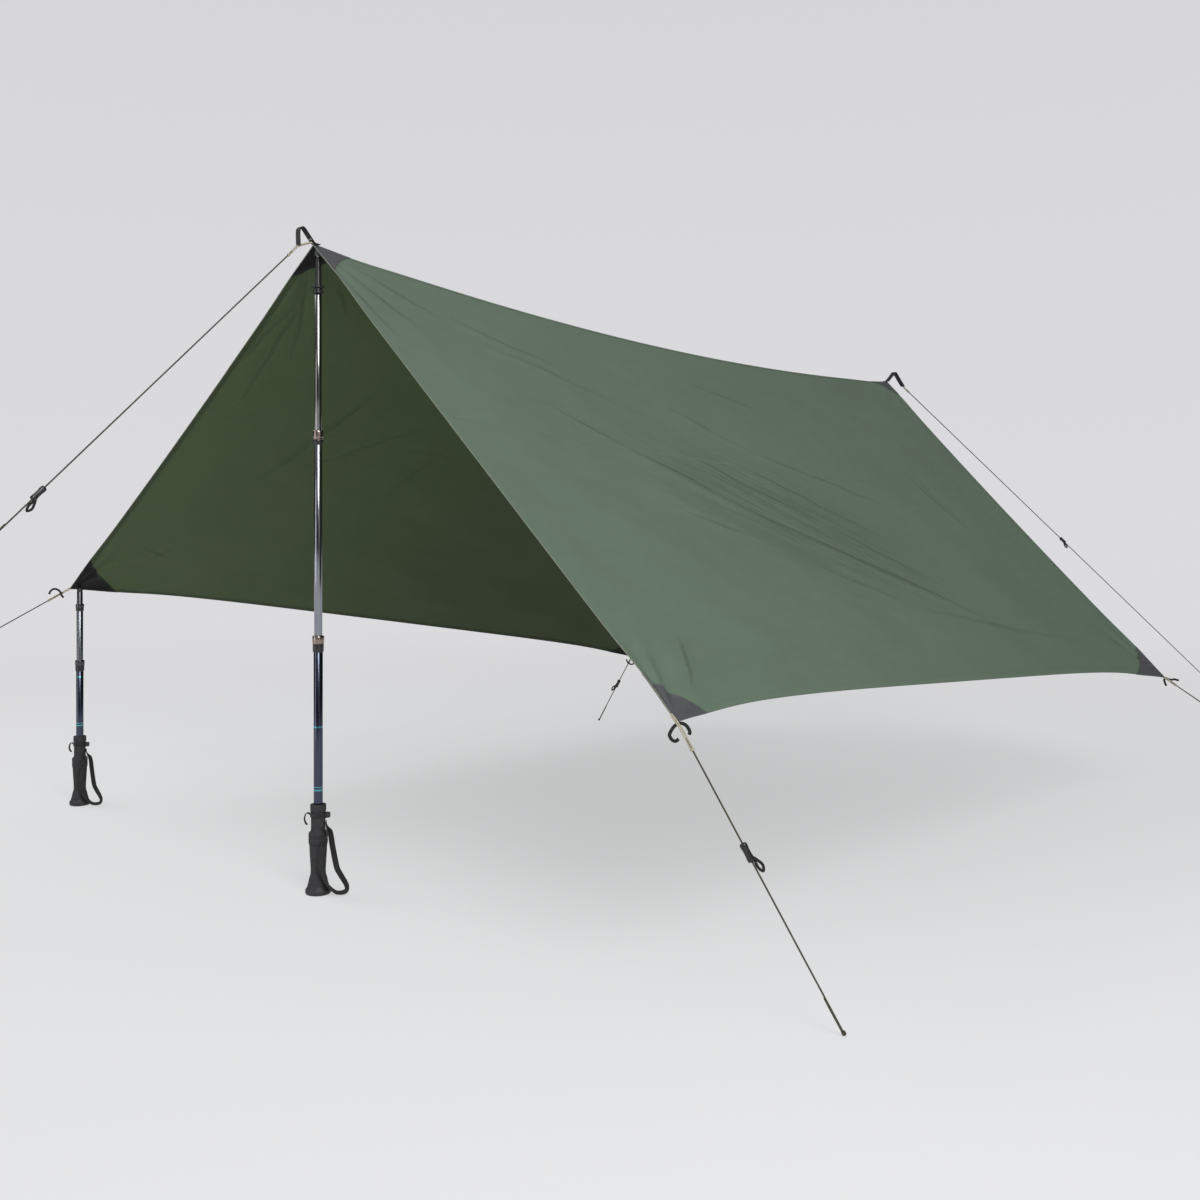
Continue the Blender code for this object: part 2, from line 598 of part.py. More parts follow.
def build_strap(prefix, foot, collection):
    """The wrist strap, which falls behind the shoulder to the ground and comes back up in front of the grip.

    Its route is given as the reach out from the pole, the place sideways, the height over the ground and the
    angle by which its flat side turns."""
    out, side = strap_frame()
    clear = GRIP_NECK_RADIUS + STRAP_THICKNESS / 2.0 + FIT
    front = GRIP_SHOULDER_RADIUS + STRAP_WIDTH / 2.0 + STRAP_CLEARANCE
    route = [
        (clear, 0.000, 0.1420, 0.0),
        (clear + 0.0012, -0.002, 0.1360, 10.0),
        (0.0180, -0.0085, 0.1280, 30.0),
        (0.0200, -0.0150, 0.1200, 50.0),
        (0.0222, -0.0165, 0.1080, 65.0),
        (0.0240, -0.0150, 0.0970, 75.0),
        (0.0280, -0.0100, 0.0815, 80.0),
        (0.0323, -0.0050, 0.0657, 82.0),
        (0.0373, 0.0000, 0.0498, 80.0),
        (0.0422, 0.0030, 0.0420, 78.0),
        (0.0481, 0.0060, 0.0340, 75.0),
        (0.0540, 0.0085, 0.0260, 70.0),
        (0.0588, 0.0105, 0.0170, 60.0),
        (0.0580, 0.0120, 0.0085, 40.0),
        (0.0490, 0.0135, 0.0050, 25.0),
        (0.0370, 0.0175, 0.0078, 10.0),
        (0.0240, front, 0.0240, 0.0),
        (0.0120, front, 0.0460, 0.0),
        (0.0060, front, 0.0660, 0.0),
        (0.0080, front, 0.0880, 0.0),
        (0.0130, front - 0.002, 0.1060, 0.0),
        (0.0215, 0.0180, 0.1180, 0.0),
        (0.0190, 0.0120, 0.1250, 0.0),
        (clear + 0.0004, 0.0070, 0.1285, 0.0),
    ]
    pivot = foot + out * clear + UP * STRAP_PIVOT_HEIGHT
    places = [foot + out * reach + side * sideways + UP * height - pivot
              for reach, sideways, height, _ in route]
    path = smooth_path(places, STRAP_STEPS)
    across = []
    for index in range(len(path)):
        ahead = path[min(index + 1, len(path) - 1)] - path[max(index - 1, 0)]
        step, part = divmod(index, STRAP_STEPS)
        turns = [route[min(step + more, len(route) - 1)][3] for more in (0, 1)]
        turn = -math.radians(turns[0] + (turns[1] - turns[0]) * part / STRAP_STEPS)
        flat = ahead.normalized().cross(side)
        across.append(side * math.cos(turn) + flat * math.sin(turn))
    strap = webbing(prefix + "_wrist_strap", path, across, STRAP_WIDTH, STRAP_THICKNESS, collection)
    strap.location = pivot
    finish(strap, BLACK_WEBBING, 0.8)


def build_wedge(prefix, parent, collection):
    """The wedge in the grip's neck that clamps the strap."""
    out, _ = strap_frame()
    block = bmesh.new()
    bmesh.ops.create_cube(block, size=1.0)
    for corner in block.verts:
        taper = 0.8 if corner.co.x > 0.0 else 1.0
        corner.co = Vector((corner.co.x * WEDGE_LENGTH, corner.co.y * WEDGE_WIDTH * taper,
                            corner.co.z * WEDGE_HEIGHT * taper))
    mesh = bpy.data.meshes.new(prefix + "_strap_wedge")
    block.to_mesh(mesh)
    block.free()
    wedge = add_object(prefix + "_strap_wedge", mesh, collection, parent)
    reach = GRIP_NECK_RADIUS + FIT + WEDGE_LENGTH / 2.0
    height = GRIP_HEIGHT - GRIP_COLLAR_HEIGHT - WEDGE_HEIGHT / 2.0 - WEDGE_BELOW_COLLAR
    wedge.location = out * reach + UP * height
    wedge.rotation_euler.z = math.radians(STRAP_BEARING_DEGREES)
    bevel = wedge.modifiers.new("Soft edges", "BEVEL")
    bevel.width = 0.0016
    bevel.segments = 2
    finish(wedge, BLACK_RUBBER, 0.5)


def build_lock_sleeve(name, tube_radius, inner_radius, radius, bottom, length, parent, collection):
    """The fixed half of a twist lock, pressed over the end of the wider tube and stepped in above it."""
    wide = tube_radius + FIT
    narrow = inner_radius + FIT
    outside = radius * SLEEVE_TO_NUT_RADIUS
    step = bottom + length * LOCK_SEAT + FIT
    top = bottom + length
    profile = [
        (narrow, top),
        (outside * 0.95, top),
        (outside, top - length * 0.10),
        (outside, bottom + length * 0.20),
        (outside * 0.94, bottom),
        (wide, bottom),
        (wide, step),
        (narrow, step),
    ]
    finish(turned(name, profile, TUBE_SIDES, collection, parent), BLACK_RUBBER, 0.45)


def build_lock_nut(name, inner_radius, radius, bottom, length, parent, collection):
    """The barrel-shaped half of a twist lock, which turns to grip the thinner tube."""
    bore = inner_radius + FIT
    profile = [
        (bore, length),
        (radius * 0.90, length),
        (radius, length * 0.84),
        (radius, length * 0.30),
        (radius * 0.95, length * 0.20),
        (radius * 0.95, length * 0.10),
        (radius * 0.98, 0.0),
        (bore, 0.0),
    ]
    nut = turned(name, profile, TUBE_SIDES, collection, parent)
    nut.location.z = bottom
    finish(nut, BRONZE, 0.35, 0.8)


def build_pole(prefix, foot, locks, overlaps, shaft_top, collection):
    """Everything of one pole below its tip, from the pommel up to the top of the thinnest tube.

    Each lock is its height, its sleeve's length and its nut's length."""
    stand = bpy.data.objects.new(prefix + "_stand", None)
    collection.objects.link(stand)
    stand.location = foot
    (lower_lock, lower_sleeve, lower_nut), (upper_lock, upper_sleeve, upper_nut) = locks
    middle_overlap, upper_overlap = overlaps
    lower_top = lower_lock + lower_sleeve * LOCK_SEAT
    middle_top = upper_lock + upper_sleeve * LOCK_SEAT
    build_pommel(prefix, stand, collection)
    build_grip(prefix, stand, collection)
    build_wedge(prefix, stand, collection)
    build_strap(prefix, foot, collection)
    lower = tube(prefix + "_lower_tube", LOWER_TUBE_RADIUS, TUBE_FLOOR_IN_GRIP + FIT, lower_top,
                 collection, stand)
    finish(lower, ANODISED_NAVY, 0.35, 0.7)
    middle = tube(prefix + "_middle_tube", MIDDLE_TUBE_RADIUS, lower_top - middle_overlap, middle_top,
                  collection, stand)
    finish(middle, ANODISED_GREY, 0.3, 0.8)
    upper = tube(prefix + "_upper_tube", UPPER_TUBE_RADIUS, middle_top - upper_overlap, shaft_top,
                 collection, stand)
    finish(upper, ANODISED_GREY, 0.3, 0.8)
    build_lock_sleeve(prefix + "_lower_lock_sleeve", LOWER_TUBE_RADIUS, MIDDLE_TUBE_RADIUS, LOWER_LOCK_RADIUS,
                      lower_lock, lower_sleeve, stand, collection)
    build_lock_sleeve(prefix + "_upper_lock_sleeve", MIDDLE_TUBE_RADIUS, UPPER_TUBE_RADIUS, UPPER_LOCK_RADIUS,
                      upper_lock, upper_sleeve, stand, collection)
    build_lock_nut(prefix + "_lower_lock_nut", MIDDLE_TUBE_RADIUS, LOWER_LOCK_RADIUS,
                   lower_lock + lower_sleeve + FIT, lower_nut, stand, collection)
    build_lock_nut(prefix + "_upper_lock_nut", UPPER_TUBE_RADIUS, UPPER_LOCK_RADIUS,
                   upper_lock + upper_sleeve + FIT, upper_nut, stand, collection)
    return stand


def build_tall_pole(collection):
    """The pole under the front peak, with its ferrule, its steel spike and the pocket for the spike."""
    x, y = TALL_POLE_FOOT.xy
    pocket_side_top = roof_underside(x, y, POCKET_RADIUS)
    pocket_top = roof_underside(x, y, POCKET_TOP_RADIUS)
    pocket_bottom = pocket_side_top - POCKET_HEIGHT / 2.0
    ceiling = pocket_side_top - POCKET_HEIGHT * 0.05
    spike_top = ceiling - FIT
    ferrule_top = spike_top - SPIKE_LENGTH
    ferrule_base = ferrule_top - FERRULE_LENGTH
    locks = (
        (TALL_LOWER_LOCK_AT, TALL_LOWER_SLEEVE, TALL_LOWER_NUT),
        (TALL_UPPER_LOCK_AT, TALL_UPPER_SLEEVE, TALL_UPPER_NUT),
    )
    stand = build_pole("tall_pole", TALL_POLE_FOOT, locks, (TALL_MIDDLE_OVERLAP, TALL_UPPER_OVERLAP),
                       ferrule_base, collection)
    flange = FERRULE_FLANGE_THICKNESS
    low = ferrule_base + FIT
    profile = [
        (0.0, ferrule_top),
        (FERRULE_TOP_RADIUS, ferrule_top),
        (UPPER_TUBE_RADIUS * 0.94, low + FERRULE_TAPER_FROM),
        (UPPER_TUBE_RADIUS, low + 4.2 * flange),
        (FERRULE_FLANGE_RADIUS, low + 4.0 * flange),
        (FERRULE_FLANGE_RADIUS, low + 3.0 * flange),
        (UPPER_TUBE_RADIUS * 1.15, low + 2.8 * flange),
        (UPPER_TUBE_RADIUS * 1.15, low + 1.2 * flange),
        (FERRULE_FLANGE_RADIUS * 0.94, low + flange),
        (FERRULE_FLANGE_RADIUS * 0.94, low),
        (0.0, low),
    ]
    finish(turned("tall_pole_ferrule", profile, TUBE_SIDES, collection, stand), BLACK_RUBBER, 0.5)
    spike = [
        (0.0, spike_top),
        (SPIKE_RADIUS * 0.55, spike_top),
        (SPIKE_RADIUS, spike_top - SPIKE_LENGTH * 0.35),
        (SPIKE_RADIUS, ferrule_top + FIT),
        (0.0, ferrule_top + FIT),
    ]
    finish(turned("tall_pole_spike", spike, LOCK_SIDES, collection, stand), STEEL, 0.4, 1.0)
    hole = SPIKE_RADIUS + FIT
    pocket = [
        (0.0, ceiling),
        (hole, ceiling),
        (hole, pocket_bottom),
        (POCKET_RADIUS, pocket_bottom),
        (POCKET_RADIUS, pocket_side_top),
        (POCKET_TOP_RADIUS, pocket_top),
        (0.0, pocket_top),
    ]
    finish(turned("peak_tip_pocket", pocket[::-1], LOCK_SIDES, collection, stand), BLACK_WEBBING, 0.8)


def build_short_pole(collection):
    """The pole under the front left corner, pushed nearly shut, with a blunt rubber cap against the patch."""
    x, y = SHORT_POLE_FOOT.xy
    cap_top = roof_underside(x, y, SHORT_CAP_RADIUS)
    shaft_top = cap_top - SHORT_CAP_HEIGHT
    locks = (
        (SHORT_LOWER_LOCK_AT, SHORT_LOWER_SLEEVE, SHORT_LOWER_NUT),
        (SHORT_UPPER_LOCK_AT, SHORT_UPPER_SLEEVE, SHORT_UPPER_NUT),
    )
    stand = build_pole("short_pole", SHORT_POLE_FOOT, locks, (SHORT_MIDDLE_OVERLAP, SHORT_UPPER_OVERLAP),
                       shaft_top, collection)
    profile = [
        (0.0, cap_top),
        (SHORT_CAP_RADIUS, cap_top),
        (UPPER_TUBE_RADIUS, shaft_top + SHORT_CAP_HEIGHT * 0.45),
        (UPPER_TUBE_RADIUS, shaft_top + FIT),
        (0.0, shaft_top + FIT),
    ]
    finish(turned("short_pole_cap", profile, TUBE_SIDES, collection, stand), BLACK_RUBBER, 0.6)


# Tie-outs, guylines and line locks

def build_peak_loop(name, corner, shape, collection):
    """A webbing loop sewn over the ridge, which stands up from a peak and comes down to its guyline.

    Its shape is given as places along Y and up from the peak."""
    path = [corner + Vector((0.0, along, up)) for along, up in shape]
    across = [Vector((1.0, 0.0, 0.0))] * len(path)
    loop = webbing(name, path, across, LOOP_WEBBING_WIDTH, LOOP_WEBBING_THICKNESS, collection)
    finish(loop, BLACK_WEBBING, 0.8)
    return path[-1]


def build_corner_hook(name, start, outward, shape, beside, collection):
    """A short stiff cord whose two tails curl as an open hook on the guyline.

    beside is how far it lies off the guyline's own middle, to the side that faces the front right."""
    _, facing = strap_frame()
    sideways = outward.cross(facing).normalized()
    points = [start + outward * along + sideways * across + facing * beside for along, across in shape]
    finish(swept_cord(name, points, HOOK_CORD_RADIUS, collection), BLACK_WEBBING, 0.7)


def build_guyline(name, start, end, collection):
    """A taut guyline, straight from its tie-out to its far end."""
    places = [start.lerp(end, step / (GUYLINE_POINTS - 1)) for step in range(GUYLINE_POINTS)]
    finish(swept_cord(name, places, GUYLINE_RADIUS, collection), OLIVE_CORD, 0.8)


def build_lock_eye(name, side, place, guides):
    """The closed eye of stiff cord at a line lock's far end, which lies beside the guyline on one side.

    Both its legs are rooted at the same place in the lock's wall."""
    near = GUYLINE_RADIUS + FIT + LOCK_EYE_RADIUS
    far = near + LOCK_EYE_WIDTH
    rooted = LOCK_LENGTH / 2.0 - LOCK_EYE_RADIUS * 2.0
    tip = LOCK_LENGTH / 2.0 + LOCK_EYE_LENGTH - LOCK_EYE_RADIUS
    shape = [
        (LOCK_WIDTH * 0.40, rooted),
        (near, rooted + (tip - rooted) * 0.30),
        (near, rooted + (tip - rooted) * 0.72),
        (near + LOCK_EYE_WIDTH * 0.35, tip),
        (far - LOCK_EYE_WIDTH * 0.25, tip),
        (far, rooted + (tip - rooted) * 0.78),
        (far, rooted + (tip - rooted) * 0.58),
        (near + LOCK_EYE_WIDTH * 0.45, rooted + (tip - rooted) * 0.24),
        (LOCK_WIDTH * 0.40, rooted),
    ]
    route = smooth_path([Vector((side * across, 0.0, along)) for across, along in shape], 2)[:-1]
    cord = swept_cord(name + "_eye_cord", route, LOCK_EYE_RADIUS, guides, cyclic=True)
    bpy.context.view_layer.update()
    evaluated = cord.evaluated_get(bpy.context.evaluated_depsgraph_get())
    eye = add_object(name + "_eye", bpy.data.meshes.new_from_object(evaluated), guides)
    bpy.data.objects.remove(cord, do_unlink=True)
    eye.matrix_world = place
    eye.hide_render = True
    eye.display_type = "WIRE"
    return eye


def build_line_lock(name, start, end, distance, side, collection, guides):
    """A slightly waisted line lock that the guyline runs through lengthways, with an eye at its far end."""
    half = LOCK_LENGTH / 2.0
    wide = LOCK_WIDTH / 2.0
    profile = [
        (LOCK_BORE_RADIUS, half),
        (wide * 0.72, half),
        (wide, half * 0.80),
        (LOCK_WAIST / 2.0, half * 0.30),
        (LOCK_WAIST / 2.0, -half * 0.30),
        (wide, -half * 0.80),
        (wide * 0.72, -half),
        (LOCK_BORE_RADIUS, -half),
    ]
    lock = turned(name, profile, LOCK_SIDES, collection, None)
    ahead = (end - start).normalized()
    flat = Matrix.Diagonal((1.0, LOCK_FLATNESS, 1.0, 1.0))
    lock.matrix_world = (Matrix.Translation(start + ahead * distance)
                         @ ahead.to_track_quat("Z", "X").to_matrix().to_4x4() @ flat)
    joined = lock.modifiers.new("Eye", "BOOLEAN")
    joined.operation = "UNION"
    joined.use_self = True
    joined.object = build_lock_eye(name, side, lock.matrix_world, guides)
    finish(lock, BLACK_RUBBER, 0.5)


def build_tie_outs(collection, guides):
    """The two peak loops, the four corner hooks, all six guylines and the four line locks."""
    front_start = build_peak_loop("front_peak_loop", FRONT_PEAK, FRONT_LOOP_SHAPE, collection)
    rear_start = build_peak_loop("rear_peak_loop", REAR_PEAK, REAR_LOOP_SHAPE, collection)
    front_ahead = (FRONT_GUYLINE_END - front_start).normalized()
    rear_ahead = (REAR_GUYLINE_END - rear_start).normalized()
    peaks = {
        "front_peak": (front_start + front_ahead * TIE_CLEARANCE, FRONT_GUYLINE_END, FRONT_LOCK_AT),
        "rear_peak": (rear_start + rear_ahead * TIE_CLEARANCE, REAR_GUYLINE_END, REAR_LOCK_AT),
    }
    past_tip = 2.0 * FIT
    past_cord = past_tip + HOOK_CORD_RADIUS
    past_hook = past_cord + HOOK_CORD_RADIUS + GUYLINE_RADIUS
    beside = HOOK_CORD_RADIUS + GUYLINE_RADIUS + FIT
    corners = {
        "front_right": (FRONT_RIGHT, FRONT_RIGHT_GUYLINE_END, past_hook, FRONT_RIGHT_LOCK_AT),
        "rear_left": (REAR_LEFT, REAR_LEFT_GUYLINE_END, past_tip, REAR_LEFT_LOCK_AT),
        "front_left": (FRONT_LEFT, FRONT_LEFT_GUYLINE_END, past_tip, None),
        "rear_right": (REAR_RIGHT, REAR_RIGHT_GUYLINE_END, past_tip, None),
    }
    hooks = {
        "front_right": (FRONT_RIGHT_HOOK, past_cord, 0.0),
        "rear_left": (REAR_LEFT_HOOK, 0.0, beside),
        "front_left": (FRONT_LEFT_HOOK, 0.0, beside),
        "rear_right": (REAR_RIGHT_HOOK, 0.0, -beside),
    }
    lines = dict(peaks)
    for name, (corner, end, clear, lock_at) in corners.items():
        outward = (end - corner).normalized()
        shape, past, aside = hooks[name]
        build_corner_hook(name + "_hook", corner + outward * past, outward, shape, aside, collection)
        lines[name] = (corner + outward * clear, end, lock_at)
    for name, (start, end, lock_at) in lines.items():
        build_guyline(name + "_guyline", start, end, collection)
        if lock_at is not None:
            eye_side = LOCK_EYE_SIDES[name]
            build_line_lock(name + "_line_lock", start, end, lock_at, eye_side, collection, guides)


def build_tarp():
    """Build the whole tarp as it stands."""
    clear_scene()
    parts = new_collection("Camping tarp")
    guides = new_collection("Guides")
    build_ridge(parts)
    build_side(1.0, "right", parts)
    build_side(-1.0, "left", parts)
    build_tall_pole(parts)
    build_short_pole(parts)
    build_tie_outs(parts, guides)


build_tarp()
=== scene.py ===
"""Camping tarp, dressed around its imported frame.

Metres, +Z up. The origin is the foot of the tall pole, +Y runs along the ridge from the front peak to the
rear peak, and +X points to the right-hand eave.
"""
import math

import bmesh
import bpy
import numpy as np
from mathutils import Matrix, Vector


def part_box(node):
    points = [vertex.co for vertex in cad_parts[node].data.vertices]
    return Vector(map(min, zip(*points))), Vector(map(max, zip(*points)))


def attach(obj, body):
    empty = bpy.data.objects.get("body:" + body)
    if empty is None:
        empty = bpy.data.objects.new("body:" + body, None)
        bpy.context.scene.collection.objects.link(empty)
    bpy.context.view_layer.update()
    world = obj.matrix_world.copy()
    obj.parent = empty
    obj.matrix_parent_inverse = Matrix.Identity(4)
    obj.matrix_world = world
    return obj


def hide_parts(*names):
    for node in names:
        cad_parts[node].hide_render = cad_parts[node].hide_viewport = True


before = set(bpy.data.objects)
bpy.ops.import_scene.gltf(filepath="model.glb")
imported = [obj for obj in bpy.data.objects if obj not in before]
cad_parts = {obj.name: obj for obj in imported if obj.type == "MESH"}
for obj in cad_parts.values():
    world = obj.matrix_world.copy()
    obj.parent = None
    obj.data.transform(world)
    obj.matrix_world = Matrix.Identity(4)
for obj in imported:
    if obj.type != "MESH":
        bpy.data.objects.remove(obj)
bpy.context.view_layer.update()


# Camera: level, at the height of a seated person, and turned to look past the right-hand side into the open
# front.
bpy.ops.object.camera_add(location=(2.204, -1.450, 0.760),
                          rotation=(math.radians(90.0), 0.0, math.radians(44.43)))
camera = bpy.context.object
camera.name = "camera"
camera.data.lens = 39.0
camera.data.sensor_width = 36.0
camera.data.shift_y = -0.0751
camera.data.clip_end = 200.0
bpy.context.scene.camera = camera


# Guylines: thin braided polyester cord in dark olive with pale flecks. Each is tied to its tie-out with a
# doubled tan cord and a knot, and runs straight under tension. Its far end is doubled back and whipped, on
# the ground or just outside the view.
GUYLINE_RADIUS = 0.0014
TIE_RADIUS = 0.0012
GUYLINE_OLIVE = (0.050, 0.047, 0.034)
GUYLINE_FLECK = (0.15, 0.14, 0.10)
TIE_TAN = (0.36, 0.33, 0.25)
TIE_FLECK = (0.55, 0.52, 0.43)
UP = Vector((0.0, 0.0, 1.0))
# The level direction in which small pieces lie in front of each other, out of the right-hand front
FACING_BEARING = math.radians(44.4)
FACING = Vector((math.sin(FACING_BEARING), -math.cos(FACING_BEARING), 0.0))

FRONT_PEAK = Vector((0.0, -0.011, 1.284))
REAR_PEAK = Vector((0.0, 2.080, 1.159))
FRONT_RIGHT = Vector((0.965, -0.026, 0.453))
FRONT_LEFT = Vector((-1.121, -0.012, 0.557))
REAR_RIGHT = Vector((0.900, 1.953, 0.3295))
REAR_LEFT = Vector((-0.944, 1.923, 0.240))
GUYLINE_CELLS = 23
KNOT_TURNS = 3.5
KNOT_STEPS = 14
# How far apart a knot's turns lie, over their cord's radius
KNOT_PITCH = 1.9
END_KNOT_OFF = 0.0036
DOUBLED_END = 0.062
DOUBLED_RADIUS = 0.00064
TIE_OVER_HOOK = 0.0044

# Where each guyline's tie-out and far end are, how long its doubled tie is, and how far past the tie-out it
# starts
GUYLINE_ROUTES = {
    "front_peak": (FRONT_PEAK + Vector((0.0, -0.0344, -0.0060)), Vector((0.0, -0.6480, 0.6930)),
                   0.030, 0.0010),
    "rear_peak": (REAR_PEAK + Vector((0.0, 0.0925, -0.0070)), Vector((0.3830, 3.9700, 0.0014)),
                  0.030, 0.0010),
    "front_right": (FRONT_RIGHT, Vector((1.1430, 0.1375, 0.0014)), 0.038, 0.0072),
    "rear_left": (REAR_LEFT, Vector((-1.0800, 1.8930, 0.0014)), 0.026, 0.0006),
    "front_left": (FRONT_LEFT, Vector((-1.2900, -0.1780, 0.4250)), 0.062, 0.0006),
    "rear_right": (REAR_RIGHT, Vector((1.0030, 2.0540, 0.2310)), 0.034, 0.0006),
}
# Where the doubled ties of the front peak and the front right corner are tacked down
TIE_TACKS = {
    "front_peak": FRONT_PEAK + Vector((0.0, -0.0020, 0.0050)),
    "front_right": FRONT_RIGHT + Vector((-0.0083, -0.0030, 0.0090)),
}
# The side of its guyline on which each line lock's eye lies
EYE_SIDES = {"front_peak": -1.0, "rear_peak": -1.0, "front_right": 1.0, "rear_left": 1.0}


def add_node(tree, kind, values=None, **settings):
    """A new node with its settings, each of whose inputs takes a socket or a plain value."""
    node = tree.nodes.new("ShaderNode" + kind)
    for setting, choice in settings.items():
        setattr(node, setting, choice)
    for name, value in (values or {}).items():
        if isinstance(value, bpy.types.NodeSocket):
            tree.links.new(value, node.inputs[name])
        else:
            node.inputs[name].default_value = value
    return node


def shader_of(name, colour, roughness, metallic=0.0, specular=0.5):
    """A new material with its node tree and its shader."""
    material = bpy.data.materials.new(name)
    material.use_nodes = True
    shader = material.node_tree.nodes["Principled BSDF"]
    shader.inputs["Base Color"].default_value = (*colour, 1.0)
    shader.inputs["Roughness"].default_value = roughness
    shader.inputs["Metallic"].default_value = metallic
    shader.inputs["Specular IOR Level"].default_value = specular
    return material, material.node_tree, shader


def tinted(colour, factor):
    """A colour made lighter or darker by a factor."""
    return tuple(part * factor for part in colour)


def maths(tree, operation, *values):
    """What a Math node makes of sockets or numbers."""
    return add_node(tree, "Math", dict(enumerate(values)), operation=operation).outputs[0]


def blended(tree, share, first, second):
    """A colour that turns from the first into the second as the share goes from 0 to 1."""
    first, second = (colour if isinstance(colour, bpy.types.NodeSocket) else (*colour, 1.0)
                     for colour in (first, second))
    return add_node(tree, "Mix", {"Factor": share, 6: first, 7: second}, data_type="RGBA").outputs[2]


def surfaced(tree, shader, colour, height, distance, strength):
    """Give the shader its colour, and bump it by a height from 0 to 1 times a distance."""
    tree.links.new(colour, shader.inputs["Base Color"])
    bump = add_node(tree, "Bump", {"Height": height, "Distance": distance, "Strength": strength})
    tree.links.new(bump.outputs["Normal"], shader.inputs["Normal"])
    return bump


def read_from(tree, output):
    """The texture coordinates of a kind, and each of their axes by itself."""
    source = add_node(tree, "TexCoord").outputs[output]
    return source, *add_node(tree, "SeparateXYZ", {0: source}).outputs


def grain(tree, vector, scale, detail=3.0, stretch=(1.0, 1.0, 1.0)):
    """Noise from 0 to 1, which a stretch draws out along an axis."""
    mapping = add_node(tree, "Mapping", {"Vector": vector, "Scale": stretch})
    values = {"Vector": mapping.outputs["Vector"], "Scale": scale, "Detail": detail}
    return add_node(tree, "TexNoise", values).outputs["Fac"]


def wave(tree, value, pitch):
    """A sine wave from 0 to 1 with a pitch in metres."""
    turn = maths(tree, "MULTIPLY", value, math.tau / pitch)
    return maths(tree, "MULTIPLY_ADD", maths(tree, "SINE", turn), 0.5, 0.5)


def braid(name, colour, fleck, pitch, radius):
    """Crossing strands with pale flecks, on UVs that run along a cord and round it in metres."""
    material, tree, shader = shader_of(name, colour, 0.8, specular=0.3)
    flat, along, around, _ = read_from(tree, "UV")
    lean = pitch / (math.tau * radius) * 2.0
    strands = [wave(tree, maths(tree, "MULTIPLY_ADD", around, sense, along), pitch)
               for sense in (lean, -lean)]
    speckle = maths(tree, "MULTIPLY", maths(tree, "MULTIPLY", *strands), grain(tree, flat, 500.0, 2.0))
    height = maths(tree, "MAXIMUM", *strands)
    surfaced(tree, shader, blended(tree, speckle, colour, fleck), height, 0.0004, 0.8)
    return material


def active_mesh_object(name):
    """The object that an operator has just added, under its own name."""
    piece = bpy.context.object
    piece.name = name
    piece.data.name = name
    return piece


def only(piece):
    """Select one object and nothing else, and make it active."""
    bpy.ops.object.select_all(action="DESELECT")
    piece.select_set(True)
    bpy.context.view_layer.objects.active = piece


def faced_outwards(piece, merge=None):
    """Join the corners of a piece that lie closer than a distance if one is given, and face it outwards."""
    only(piece)
    bpy.ops.object.mode_set(mode="EDIT")
    bpy.ops.mesh.select_all(action="SELECT")
    if merge:
        bpy.ops.mesh.remove_doubles(threshold=merge)
    bpy.ops.mesh.normals_make_consistent(inside=False)
    bpy.ops.object.mode_set(mode="OBJECT")
    return piece


def smooth_at(piece, degrees=40.0):
    """Shade a piece smooth, with sharp edges where its faces turn by more than an angle."""
    only(piece)
    bpy.ops.object.shade_smooth_by_angle(angle=math.radians(degrees))
    return piece


def corded(name, places, radius, resolution=3):
    """A round cord through its places, made a mesh with UVs in metres along it and round it."""
    curve = bpy.data.curves.new(name, "CURVE")
    curve.dimensions = "3D"
    curve.bevel_depth = radius
    curve.bevel_resolution = resolution
    curve.use_fill_caps = True
    line = curve.splines.new("POLY")
    line.points.add(len(places) - 1)
    for knot, place in zip(line.points, places):
        knot.co = (*place, 1.0)
    piece = bpy.data.objects.new(name, curve)
    bpy.context.scene.collection.objects.link(piece)
    only(piece)
    bpy.ops.object.convert(target="MESH")
    piece = active_mesh_object(name)
    length = sum((after - before).length for before, after in zip(places, places[1:]))
    layer = piece.data.uv_layers[0]
    for loop in layer.data:
        loop.uv = (loop.uv.x * length, loop.uv.y * math.tau * radius)
    return smooth_at(faced_outwards(piece, 0.00002), 60.0)


def eased(points, steps):
    """Places read evenly from the smooth curve through the given ones."""
    ends = [points[0] * 2.0 - points[1], *points, points[-1] * 2.0 - points[-2]]
    path = []
    for index in range(len(points) - 1):
        before, start, end, after = ends[index:index + 4]
        for step in range(steps):
            t = step / steps
            bend = (before * 2.0 - start * 5.0 + end * 4.0 - after) * (t * t)
            twist = (start * 3.0 - before - end * 3.0 + after) * (t * t * t)
            path.append((start * 2.0 + (end - before) * t + bend + twist) / 2.0)
    path.append(points[-1].copy())
    return path


def wear(piece, material, body="canopy"):
    """Give a piece its finish, and let it ride on its body."""
    piece.data.materials.append(material)
    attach(piece, body)
    return piece


def wound_knot(name, centre, ahead, inner, strand, material):
    """A few tight turns of cord round a line."""
    side = ahead.orthogonal().normalized()
    over = ahead.cross(side)
    places = []
    for step in range(int(KNOT_TURNS * KNOT_STEPS) + 1):
        turn = math.tau * step / KNOT_STEPS
        along = (step / KNOT_STEPS - KNOT_TURNS / 2.0) * strand * KNOT_PITCH
        bulge = inner + strand * (1.0 + 0.5 * math.cos(math.pi * (step / (KNOT_TURNS * KNOT_STEPS) - 0.5)))
        places.append(centre + ahead * along + (side * math.cos(turn) + over * math.sin(turn)) * bulge)
    return wear(corded(name, places, strand), material)


